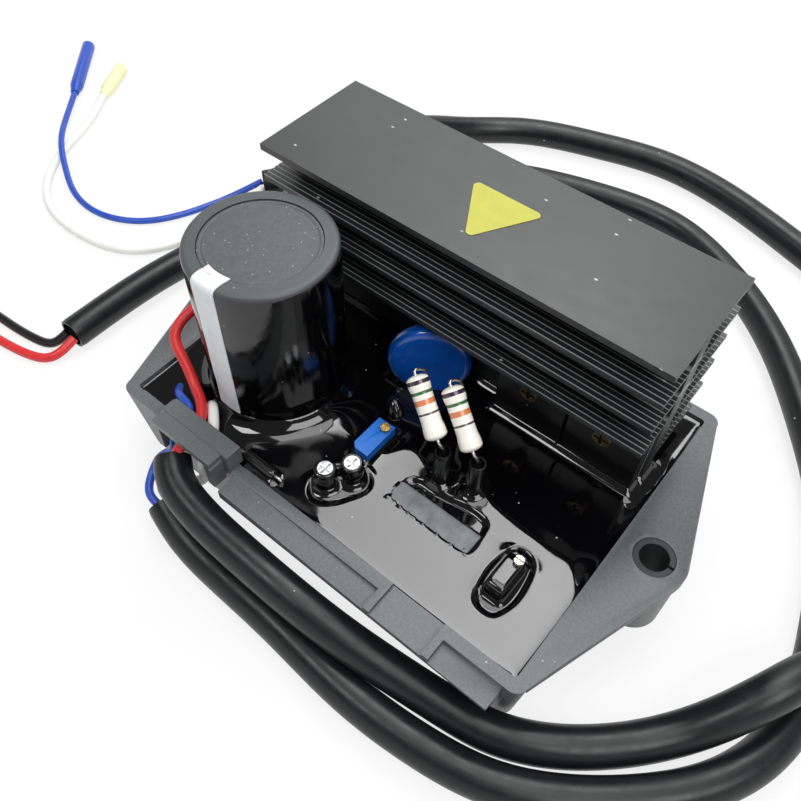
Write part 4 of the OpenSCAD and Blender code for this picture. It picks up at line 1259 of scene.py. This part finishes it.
@dataclass(frozen=True)
class Pool:
    """A hollow in the resin inside a rounded outline, with a smooth bank of some width."""

    depth: float
    bank: float
    outline: Outline
    cuts: int = 3

    def rounded(self) -> Array:
        """The outline with its corners cut at a quarter of each side, over and over.

        Returns:
            Points of the closed outline.
        """
        line = np.asarray(self.outline)
        for _ in range(self.cuts):
            after = np.roll(line, -1, 0)
            pairs = [0.75 * line + 0.25 * after, 0.25 * line + 0.75 * after]
            line = np.stack(pairs, 1).reshape(-1, 2)
        return line

    def inside(self, x: Array, y: Array) -> Array:
        """Signed distance in plan from the outline, positive inside it.

        Each edge gives the distance to its nearest point; an even-odd count of the edges to the
        right of a point tells inside from outside.

        Args:
            x: Places along the tray.
            y: Places across the tray.

        Returns:
            The distance at each place.
        """
        line = self.rounded()
        a, b = line[:, None, None, :], np.roll(line, -1, 0)[:, None, None, :]
        p = np.stack([x, y], -1)[None]
        edge = b - a
        t = np.clip(((p - a) * edge).sum(-1) / (edge**2).sum(-1), 0, 1)
        gap = np.linalg.norm(p - a - t[..., None] * edge, axis=-1).min(0)
        crosses = (a[..., 1] > p[..., 1]) != (b[..., 1] > p[..., 1])
        climb = np.where(edge[..., 1] == 0, TINY, edge[..., 1])
        at = a[..., 0] + (p[..., 1] - a[..., 1]) / climb * edge[..., 0]
        within = (crosses & (p[..., 0] < at)).sum(0) % 2 == 1
        return np.where(within, gap, -gap)

    def at(self, x: Array, y: Array) -> Array:
        """Depth of the hollow at each place: its depth times a smooth step across the bank."""
        return self.depth * smooth_step(self.inside(x, y) / self.bank)


@dataclass(frozen=True)
class Ridge:
    """The low ridge at the rear edge of the resin's front part, along the brow line.

    Fade holds where the ridge starts to fade towards the right wall, over what length and by what
    share. The slope grows over a run before the line, turns over a run behind it and dies out.
    """

    brow: Outline = (
        (-10.0, -19.0), (3.1, -18.5), (4.2, -14.1), (7.3, -12.0), (10.9, -12.9), (12.9, -14.2),
        (17.4, -14.0), (19.6, -9.6), (27.5, -9.6), (30.0, -12.0), (37.6, -13.0), (47.6, -13.3),
        (54.0, -12.8), (57.0, -15.5), (60.0, -21.0),
    )
    places: int = 280
    blur: float = 4.0
    blur_reach: int = 12
    spare: float = 0.02
    fade: Point = (43.0, 8.0, 0.25)
    section: Pair = (-9.0, 16.0)
    section_points: int = 1200
    grow_from: float = -8.0
    grow_run: float = 7.4
    turn_from: float = 0.1
    turn_run: float = 1.3
    turn_share: float = 2.2
    end_from: float = 1.4
    end_reach: float = 3.0

    def line(self) -> tuple[Array, Array]:
        """The brow line, blurred along its length by a bell curve.

        Returns:
            Places along the tray, and where the line is across it.
        """
        brow, reach = np.asarray(self.brow), self.blur_reach
        places = np.linspace(brow[0, 0], brow[-1, 0], self.places)
        edge = np.pad(np.interp(places, brow[:, 0], brow[:, 1]), reach, mode="edge")
        core = np.exp(-0.5 * (np.arange(-reach, reach + 1) / self.blur) ** 2)
        return places, np.convolve(edge, core / core.sum(), mode="valid")

    def at(self, x: Array, y: Array, eye: Point, sink: Pair, level: float) -> Array:
        """Height of the ridge at each place.

        It is as steep at the line as half the angle between the ray from the eye and the ray past
        the heat sink's top edge, and its height is the slope added up across the line.

        Args:
            x: Places along the tray.
            y: Places across the tray.
            eye: Where the ridge is seen from.
            sink: Place and height of the heat sink's top front edge.
            level: Height of the resin.

        Returns:
            The height at each place.
        """
        places, edge = self.line()
        eye_turn = np.arctan2(edge - eye[1], eye[2] - level)
        sink_turn = np.arctan2(sink[0] - edge, sink[1] - level)
        steep = np.tan(np.maximum(eye_turn - sink_turn, 0.0) / 2) + self.spare
        start, run, share = self.fade
        steep = steep * (1 - share * smooth_step((places - start) / run))
        t = np.linspace(*self.section, self.section_points)
        slope = smooth_step((t - self.grow_from) / self.grow_run)
        slope *= 1 - self.turn_share * smooth_step((t - self.turn_from) / self.turn_run)
        slope *= np.exp(-np.maximum(t - self.end_from, 0) / self.end_reach)
        table = np.cumsum(slope) * (t[1] - t[0])
        return np.interp(x, places, steep) * np.interp(y - np.interp(x, places, edge), t, table)


@dataclass
class Resin:
    """The poured resin, which climbs every wall and part that stands in it."""

    step: float = 0.42
    skirt: float = 3.0
    eye: Point = Studio.eye
    ridge: Ridge = Ridge()
    wall: Meniscus = Meniscus(0.25, 0.8)
    can: tuple[Meniscus, ...] = (Meniscus(3.2, 2.4), Meniscus(0.35, 6.0))
    foot: Meniscus = Meniscus(2.0, 1.5)
    foot_depth: float = 5.0
    blocks: tuple[tuple[str, Meniscus], ...] = (
        ("trimmer", Meniscus(1.2, 0.9)), ("coated_trimmer", Meniscus(1.6, 0.9)),
        ("varistor", Meniscus(0.5, 1.2)), ("diode", Meniscus(0.9, 0.9)),
    )
    block_inset: float = 0.4
    small_can: Meniscus = Meniscus(1.6, 0.9)
    lead_sleeve: Meniscus = Meniscus(1.2, 0.9)
    film_pool: Pool = Pool(0.9, 1.4, (
        (11.0, -17.6), (10.4, -25.0), (14.2, -25.8), (24.1, -26.2), (34.0, -26.3), (35.6, -24.0),
        (34.8, -19.3), (34.4, -16.0), (31.0, -14.8), (26.1, -15.1), (19.7, -16.4), (15.2, -16.2),
    ))
    trimmer_pool: Pool = Pool(1.3, 1.8, (
        (40.5, -17.9), (43.6, -15.6), (48.0, -16.9), (49.6, -20.0), (50.7, -27.2), (49.5, -32.4),
        (47.6, -35.0), (43.3, -35.1), (40.7, -33.0), (39.8, -27.9), (39.6, -23.9),
    ))
    can_pool: Pool = Pool(0.9, 1.6, (
        (-6.1, -36.4), (-3.8, -38.4), (-0.9, -38.4), (2.4, -36.1), (4.8, -32.3), (7.2, -27.7),
        (5.6, -23.9), (2.0, -22.4), (-2.6, -24.0), (-6.4, -28.6), (-7.6, -33.0),
    ))
    creep: float = 0.5
    creep_at: float = 0.5
    creep_width: float = 0.4
    swell: float = 0.008
    bead_at: Pair = (-3.3, -5.4)
    bead_r: float = 2.2
    bead_h: float = 3.6
    bead_root: float = 1.5
    bead_lean: Point = (-1.5, 1.4, 0.0)

    def climbs(self, x: Array, y: Array) -> Array:
        """The menisci at the walls and at every part that stands in the resin.

        Args:
            x: Places along the tray.
            y: Places across the tray.

        Returns:
            The sum of their heights at each place.
        """
        z = self.wall.at(inside_gap(x, y, *corners("potting_resin")))
        low, high = corners("filter_capacitor")
        middle, radius = (low + high) / 2, (high[0] - low[0]) / 2
        gap = np.hypot(x - middle[0], y - middle[1]) - radius
        z += sum(climb.at(gap) for climb in self.can)
        s0, s1 = corners("heat_sink")
        p0, p1 = corners("power_transistor")
        back = np.array([s1[0], p1[1] + self.foot_depth])
        gap = outside_gap(x, y, np.array([s0[0], p1[1]]), back)
        gap = np.minimum(gap, outside_gap(x, y, p0, p1))
        gap = np.minimum(gap, outside_gap(x, y, *corners("rectifier_module")))
        z += (1.0 + 0.05 * np.sin(0.21 * x + 0.4)) * self.foot.at(gap)
        for node, climb in self.blocks:
            low, high = corners(node)
            z += climb.at(outside_gap(x, y, low + self.block_inset, high - self.block_inset))
        for node, r, climb in (
            ("small_capacitors", SmallParts.small_r, self.small_can),
            ("resistor_wire_sleeves", SmallParts.lead_sleeve_r, self.lead_sleeve),
        ):
            low, high = corners(node)
            for cx, cy in (low[:2] + r, high[:2] - r):
                z += climb.at(np.hypot(x - cx, y - cy) - r)
        return z

    def crumbs(self, x: Array, y: Array) -> Array:
        """Crumbs of resin just inside the edge of the part that lies level with it.

        A product and a sum of sines, cut off below 0, under a bell curve along the edge.

        Args:
            x: Places along the tray.
            y: Places across the tray.

        Returns:
            Their height at each place.
        """
        edge = inside_gap(x, y, *corners("film_capacitor"))
        crumb = np.sin(1.6 * x + 0.7) * np.sin(1.5 * y + 0.4) + 0.5 * np.sin(2.9 * x - 1.3 * y)
        bell = np.exp(-(((edge - self.creep_at) / self.creep_width) ** 2))
        return self.creep * np.clip(crumb, 0, 1) * bell

    def height(self, x: Array, y: Array) -> Array:
        """Height of the resin above its level at each place, in millimetres.

        The menisci, the ridge and the crumbs are added, the pools round the low parts are taken
        away, and a slow product of sines keeps the rest from being quite flat.

        Args:
            x: Places along the tray.
            y: Places across the tray.

        Returns:
            The height at each place.
        """
        s0, s1 = corners("heat_sink")
        level = corners("potting_resin")[1][2]
        z = self.climbs(x, y) + self.crumbs(x, y)
        z += self.ridge.at(x, y, self.eye, (s0[1], s1[2]), level)
        z -= sum(pool.at(x, y) for pool in (self.film_pool, self.trimmer_pool, self.can_pool))
        return z + self.swell * np.sin(0.31 * x + 0.9) * np.cos(0.27 * y)

    def bead(self) -> None:
        """A small part under a skin of resin: a dome with a leaning tip.

        The radius falls as the root of 1 - h^2.4, and each ring moves along a gentle curve with
        height.
        """
        h = np.linspace(0.0, 1.0, 30)
        dome = np.stack([self.bead_r * np.sqrt(np.clip(1 - h**2.4, 0, 1)), self.bead_h * h], -1)
        root = [[0.0, -self.bead_root], [self.bead_r, -self.bead_root]]
        grid = revolve(np.concatenate([root, dome]), sides=40)
        lean = np.clip(grid[..., 2:] / self.bead_h, 0, 1) ** 1.5
        grid = grid + lean * np.array(self.bead_lean)
        grid = grid + np.array([*self.bead_at, corners("potting_resin")[1][2]])
        settle(Shape().add(grid).build("coated_bead", sharp=60), RESIN_SKIN)

    def build(self) -> None:
        """A closed block: the worked-out surface, a skirt round it and a flat underside."""
        low, high = corners("potting_resin")
        nx, ny = (int(side / self.step) for side in high[:2] - low[:2])
        x, y = np.meshgrid(np.linspace(low[0], high[0], nx), np.linspace(low[1], high[1], ny))
        top = np.stack([x, y, high[2] + self.height(x, y)], -1)
        rim = np.concatenate([top[0, :-1], top[:-1, -1], top[-1, :0:-1], top[:0:-1, 0]])
        under = rim.copy()
        under[:, 2] = high[2] - self.skirt
        shape = Shape().add(top, wrap=False)
        shape.add(np.stack([rim, under]), caps=False)
        shape.faces.append((np.arange(len(rim)) + shape.count - len(rim)).tolist())
        self.bead()
        settle(shape.build("resin_surface", sharp=60), RESIN, "potting_resin")


@dataclass
class HeatSink:
    """The finned heat sink, the two power packages on it, their screws and the sticker."""

    sink_edge: float = 0.14
    sink_angle: float = 60.0
    package_edge: float = 0.3
    screw_edge: float = 0.14
    pitch: float = 8.73
    fins: int = 6
    # Width of the painted highlight along each fin crest, in millimetres.
    highlight_band: float = 0.05

    def paint_crest_highlights(self, sink: Piece) -> None:
        """Marks the crests of the ridges on top of each fin, for a pale painted highlight along
        them.

        The attribute is 1 where a point's depth below the top is a whole number of pitches.

        Args:
            sink: The heat sink.
        """
        place = np.empty(len(sink.data.vertices) * 3, dtype=np.float32)
        sink.data.vertices.foreach_get("co", place)
        z = place.reshape(-1, 3)[:, 2] / MM
        below = (z.max() - z) / self.pitch
        level = np.round(below)
        painted_highlight = np.abs(below - level) * self.pitch < self.highlight_band
        painted_highlight &= (level >= 1) & (level < self.fins)
        layer = sink.data.attributes.new("along", "FLOAT", "POINT")
        layer.data.foreach_set("value", painted_highlight.astype(np.float32))

    def build(self) -> None:
        """Rounds the edges and dresses each piece."""
        sink = eased_copy("heat_sink", self.sink_edge, segments=1, angle=self.sink_angle)
        self.paint_crest_highlights(sink)
        settle(sink, ANODISED, "heat_sink")
        for node in ("power_transistor", "rectifier_module"):
            ease_node(node, self.package_edge, PACKAGE)
        ease_node("device_screws", self.screw_edge, YELLOW_SCREW)
        dress_node("insulating_pads", PAD)
        dress_node("sticker", YELLOW_LABEL)


@dataclass
class FilterCapacitor:
    """The tall capacitor in its shrink sleeve, with its end disc and a strip of tape.

    Its place, radii and heights come from the CAD nodes.
    """

    sides: int = 128
    roll: float = 1.5
    lip: float = 0.35
    matt_from: float = 1.3
    matt_run: float = 0.9
    disc_gap: float = 0.12
    tape_half: float = 3.4
    tape_on: float = 1.5
    tape_t: float = 0.2
    tape_gap: float = 0.03
    tape_lift: float = 0.05
    tape_step: float = 0.5
    middle: Array = field(init=False)
    r: float = field(init=False)
    foot: float = field(init=False)
    top: float = field(init=False)
    disc_r: float = field(init=False)
    disc_foot: float = field(init=False)
    disc_top: float = field(init=False)

    def __post_init__(self) -> None:
        """Reads the sizes of the CAD nodes."""
        low, high = corners("filter_capacitor")
        d0, d1 = corners("capacitor_disc")
        self.middle = (low + high) / 2 * np.array([1.0, 1.0, 0.0])
        self.r, self.foot, self.top = (high[0] - low[0]) / 2, low[2], high[2]
        self.disc_r, self.disc_foot, self.disc_top = (d1[0] - d0[0]) / 2, d0[2], d1[2]

    def can(self) -> None:
        """The can: a profile with a rolled top edge, turned round; matt above the edge."""
        r, foot, top = self.r, self.foot, self.top
        profile = eased_profile(
            [
                (0, foot), (r - 1, foot), (r, foot + 1), (r, top), (self.disc_r + 0.9, top),
                (self.disc_r, self.disc_top + self.lip), (self.disc_r, self.disc_foot),
                (0, self.disc_foot),
            ],
            [0, 0.3, 0.3, self.roll, 0.5, 0.12, 0.1, 0], steps=8,
        )
        matt = np.clip((profile[:, 1] - top + self.matt_from) / self.matt_run, 0, 1)
        shape = Shape().add(revolve(profile, self.sides) + self.middle, along=matt)
        settle(shape.build("can_in_sleeve", sharp=50), CAN_SLEEVE, "filter_capacitor")

    def disc(self) -> None:
        """The end disc: a profile with a fine groove near its edge, turned round."""
        r, z = self.disc_r - self.disc_gap, self.disc_top
        profile = eased_profile(
            [
                (0, self.disc_foot), (r, self.disc_foot), (r, z), (r - 0.7, z),
                (r - 0.95, z - 0.16), (r - 1.2, z), (0, z + 0.06),
            ],
            [0, 0, 0.15, 0.1, 0.08, 0.1, 0], steps=5,
        )
        shape = Shape().add(revolve(profile, self.sides) + self.middle)
        settle(shape.build("end_disc", sharp=50), CAN_DISC, "capacitor_disc")

    def tape(self) -> None:
        """The tape: a profile over the can's edge, carried across the tape's width on the can.

        A point at radius R and offset s lies at (s, -sqrt(R^2 - s^2)); small sines crease it.
        """
        end = corners("tape_strip")[0][2]
        line = eased_profile(
            [
                (self.disc_r - self.tape_on, self.disc_top), (self.disc_r - 0.3, self.disc_top),
                (self.disc_r + 0.8, self.top), (self.r, self.top), (self.r, end),
            ],
            [0, 0.4, 0.5, self.roll, 0], steps=10,
        )
        flat = np.concatenate([line, np.zeros((len(line), 1))], -1)
        line = even_steps(flat, self.tape_step)[:, :2]
        s = np.linspace(-self.tape_half, self.tape_half, 21)
        rows = np.linspace(0, 1, len(line))[:, None]
        crease = 0.05 * np.sin(9 * rows + 0.8 * s) * np.sin(31 * rows)
        crease += 0.03 * np.sin(2.2 * s + 14 * rows)
        way = unit(np.gradient(line, axis=0))
        out = np.stack([-way[:, 1], way[:, 0]], -1)

        def face(offset: Array) -> Array:
            """One face of the tape.

            Args:
                offset: Its distance from the can at each row and column.

            Returns:
                The grid of points.
            """
            radius = line[:, :1] + out[:, :1] * offset
            height = line[:, 1:] + out[:, 1:] * offset
            back = -np.sqrt(np.maximum(radius**2 - s**2, 0))
            return np.stack([s + 0 * radius, back, height], -1) + self.middle

        outer = face(self.tape_t + crease + self.tape_lift)
        inner = face(self.tape_gap + 0 * crease)
        shape = Shape().add(np.concatenate([outer, inner[:, ::-1]], 1))
        settle(shape.build("tape_over_edge", sharp=50), TAPE, "tape_strip")

    def build(self) -> None:
        """Makes the can, the disc and the tape."""
        self.can()
        self.disc()
        self.tape()


@dataclass
class SmallParts:
    """The varistor, resistors, trimmers, small capacitors, film capacitor and diode."""

    resin_z: float = 21.5
    wire_r: float = 0.4
    wire_sides: int = 14
    varistor_r: float = 11.0
    varistor_t: float = 5.0
    varistor_at: Point = (-3.4, 8.2, 30.8)
    varistor_turn: float = 32.0
    varistor_lean: float = -5.0
    varistor_dish: float = 0.12
    varistor_wave: float = 0.008
    resistor_names: tuple[str, ...] = ("resistor_left", "resistor_right")
    resistor_low: Route = ((16.2, -14.4, 38.0), (24.2, -11.8, 38.0))
    resistor_r: float = 2.7
    resistor_l: float = 15.6
    resistor_turn: float = 154.3
    resistor_tilt: float = 38.2
    waist: float = 0.9
    shoulder_at: float = 3.4
    shoulder_run: float = 0.35
    tip: float = 1.3
    wire_step: float = 0.4
    wire_in: float = 0.3
    wire_foot: Pair = (1.5, 0.4)
    wire_rear: Pair = (-12.0, 13.6)
    stub: float = 0.8
    bow: float = 2.2
    buried: float = 0.5
    lead_sleeve_r: float = 2.1
    lead_sleeve_wall: float = 0.5
    lead_sleeve_h: float = 13.5
    small_r: float = 2.8
    small_rim: float = 0.85
    small_sunk: float = 0.12
    groove_half: float = 0.16
    groove_deep: float = 0.14
    diode_wire_step: float = 0.2
    skin_round: float = 0.28
    skin_plan: float = 0.3
    skin_top: float = 0.45
    trimmer_edge: float = 0.22
    adjuster_edge: float = 0.1
    film_edge: float = 0.3

    def varistor(self) -> None:
        """A dipped disc: a flat lens with a full round edge, a little uneven all over.

        A bell curve dishes both faces, and a cosine of three times the angle waves the edge.
        """
        t, r = self.varistor_t / 2, self.varistor_r
        profile = eased_profile([(0, -t), (r, -t), (r, t), (0, t)], [0, t, t, 0], steps=14)
        profile[:, 1] *= 1.0 - self.varistor_dish * np.exp(-((profile[:, 0] / (0.55 * r)) ** 2))
        grid = revolve(profile, sides=96)
        a = np.arctan2(grid[..., 1], grid[..., 0])
        grid[..., :2] *= (1 + self.varistor_wave * (np.cos(3 * a + 0.7) - 1))[..., None]
        turn, lean = math.radians(self.varistor_turn), math.radians(90 + self.varistor_lean)
        flat = math.sin(lean)
        axis = (math.sin(turn) * flat, -math.cos(turn) * flat, math.cos(lean))
        piece = Shape().add(aim(grid, self.varistor_at, axis)).build("varistor_disc", sharp=70)
        settle(piece, BLUE_COATING, "varistor")

    def resistor_profile(self) -> Array:
        """A lacquered body, fuller at both ends.

        The radius falls from the full ends to the waist by a smooth S curve on each side, and the
        tips are rounded by a quarter of an ellipse.

        Returns:
            Radius and height of each point.
        """
        s = np.linspace(0, self.resistor_l, 90)
        edge = np.minimum(s, self.resistor_l - s)
        full = 1 / (1 + np.exp((edge - self.shoulder_at) / self.shoulder_run))
        radius = self.resistor_r * (self.waist + (1 - self.waist) * full)
        radius *= np.sqrt(np.clip(1 - (np.maximum(self.tip - edge, 0) / self.tip) ** 2, 0, 1))
        return np.stack([radius, s], -1)

    def resistors(self) -> None:
        """Lacquered bodies on bent wires in black sleeves."""
        a, e = math.radians(self.resistor_turn), math.radians(self.resistor_tilt)
        way = np.array([math.cos(e) * math.cos(a), math.cos(e) * math.sin(a), math.sin(e)])
        body = revolve(self.resistor_profile(), sides=48)
        wires, sleeves = Shape(), Shape()
        base, top = self.resin_z, self.resin_z + self.lead_sleeve_h
        for name, low in zip(self.resistor_names, self.resistor_low):
            piece = Shape().add(aim(body, low, tuple(way))).build(f"{name}_body", sharp=60)
            settle(piece, LACQUER, name)
            start, end = np.asarray(low), np.asarray(low) + way * self.resistor_l
            foot, rear = start[:2] + self.wire_foot, start[:2] + self.wire_rear
            front = np.array([
                start + way * self.wire_in, start - way * self.stub, [*foot, top],
                [*foot, top - 3 * self.stub], [*foot, base],
            ])
            back = np.array([
                end - way * self.wire_in, end + way * self.stub, end + [0, self.bow, 0],
                end + [self.bow / 2, 1.4 * self.bow, -2 * self.bow],
                [*rear, base + 5 * self.stub], [*rear, base - self.buried],
            ])
            for route in (front, back):
                line = smooth_route(route, self.wire_step)
                wires.add(sweep(line, self.wire_r, self.wire_sides))
            line = np.linspace([*foot, base - self.buried], [*foot, top - 1], 16)
            bore = self.lead_sleeve_r - self.lead_sleeve_wall
            sleeves.add(open_tube(line, self.lead_sleeve_r, bore, depth=5, lip=0.12, sides=28))
        piece = wires.build("resistor_lead_wires", sharp=60)
        settle(piece, TINNED, "resistor_wires")
        piece = sleeves.build("lead_sleeves", sharp=50)
        settle(piece, BLACK_SLEEVE, "resistor_wire_sleeves")

    def small_capacitors(self) -> None:
        """Two small sleeved cans with a rolled lip, and their bare tops with a pressed cross.

        Each arm of the cross is a bell curve across it, pressed into rings that fill the top.
        """
        low, high = corners("small_capacitors")
        under_z = corners("small_capacitor_tops")[0][2]
        r, top = self.small_r, high[2]
        bare = r - self.small_rim
        cans, tops = Shape(), Shape()
        profile = eased_profile(
            [
                (0, low[2]), (r, low[2]), (r, top), (bare + 0.15, top), (bare, top - 0.35),
                (0, top - 0.35),
            ],
            [0, 0.2, 0.7, 0.2, 0.1, 0], steps=7,
        )
        rings = np.linspace(bare - 0.05, 0, 24)
        face = revolve(np.stack([rings, 0 * rings + top - self.small_sunk], -1), sides=48)
        arms = np.exp(-((face[..., :2] / self.groove_half) ** 2)).sum(-1)
        pressed = (rings < bare - 0.3)[:, None]
        face[..., 2] -= self.groove_deep * np.minimum(arms, 1) * pressed
        under = revolve(np.array([[0.0, under_z], [bare - 0.05, under_z]]), sides=48)
        for cx, cy in (low[:2] + r, high[:2] - r):
            place = np.array([cx, cy, 0.0])
            cans.add(revolve(profile, sides=48) + place, along=0 * profile[:, 1])
            tops.add(np.concatenate([under, face]) + place)
        settle(cans.build("small_cans", sharp=50), CAN_SLEEVE, "small_capacitors")
        piece = tops.build("small_can_tops", sharp=50)
        settle(piece, BARE_METAL, "small_capacitor_tops")

    def diode(self) -> None:
        """A moulded barrel with rounded ends, and wires that bend down into the resin."""
        low, high = corners("diode")
        _, y, z = (low + high) / 2
        r, length = (high[2] - low[2]) / 2, high[0] - low[0]
        profile = eased_profile(
            [
                (0, 0), (r * 0.86, 0), (r, 0.7), (r, length - 0.7), (r * 0.86, length),
                (0, length),
            ],
            [0, 0.3, 0.4, 0.4, 0.3, 0],
        )
        grid = aim(revolve(profile, sides=40), (low[0], y, z), (1, 0, 0))
        settle(Shape().add(grid).build("diode_barrel", sharp=50), DIODE_BODY, "diode")
        w0, w1 = corners("diode_wires")
        wires = Shape()
        for x0, x1, s in (
            (low[0], w0[0] + self.wire_r, -1), (high[0], w1[0] - self.wire_r, 1),
        ):
            route = [
                (x0 - s * 0.2, y, z), (x1 - s * 0.8, y, z), (x1 - s * 0.15, y, z - 0.25),
                (x1, y, z - 0.9), (x1, y, self.resin_z - 0.3),
            ]
            line = smooth_route(route, self.diode_wire_step)
            wires.add(sweep(line, self.wire_r, self.wire_sides))
        settle(wires.build("diode_lead_wires", sharp=60), TINNED, "diode_wires")

    def coated_block(self) -> None:
        """The second trimmer's body under its skin of resin: a rounded block with a full top.

        A superellipsoid: each half size times signed powers of the sines and cosines of two
        angles.
        """
        low, high = corners("coated_trimmer")
        middle, half = (low + high) / 2, (high - low) / 2
        v = np.linspace(-math.pi / 2, math.pi / 2, 61)[:, None]
        u = ring_angles(80)[None, :]
        ring = np.maximum(np.cos(v), 0.0) ** self.skin_round
        x = ring * signed_power(np.cos(u), self.skin_plan)
        y = ring * signed_power(np.sin(u), self.skin_plan)
        z = signed_power(np.sin(v), self.skin_top) + 0 * u
        shape = Shape().add(middle + half * np.stack([x, y, z], -1))
        piece = shape.build("coated_trimmer_body", sharp=80)
        settle(piece, RESIN_SKIN, "coated_trimmer")

    def trimmers(self) -> None:
        """Both trimmers and their adjusting screws, with eased edges."""
        ease_node("trimmer", self.trimmer_edge, BLUE_PLASTIC)
        self.coated_block()
        for node, finish, body in (
            ("trimmer_screw", BRASS, Body.TRIMMER),
            ("coated_trimmer_screw", SILVER_SCREW, Body.COATED),
        ):
            ease_node(node, self.adjuster_edge, finish, body=body)

    def build(self) -> None:
        """Makes every small part."""
        self.varistor()
        self.resistors()
        self.small_capacitors()
        self.diode()
        self.trimmers()
        ease_node("film_capacitor", self.film_edge, GREY_FILM)
        dress_node("circuit_board", LAMINATE)
        dress_node("board_pins", TINNED)


def main() -> None:
    """Builds the stage and every sub-assembly in order."""
    logging.basicConfig(level=logging.INFO, format="%(name)s: %(message)s")
    for assembly in (Studio, Cables, Tray, Resin, HeatSink, FilterCapacitor, SmallParts):
        assembly().build()


if __name__ == "__main__":
    main()
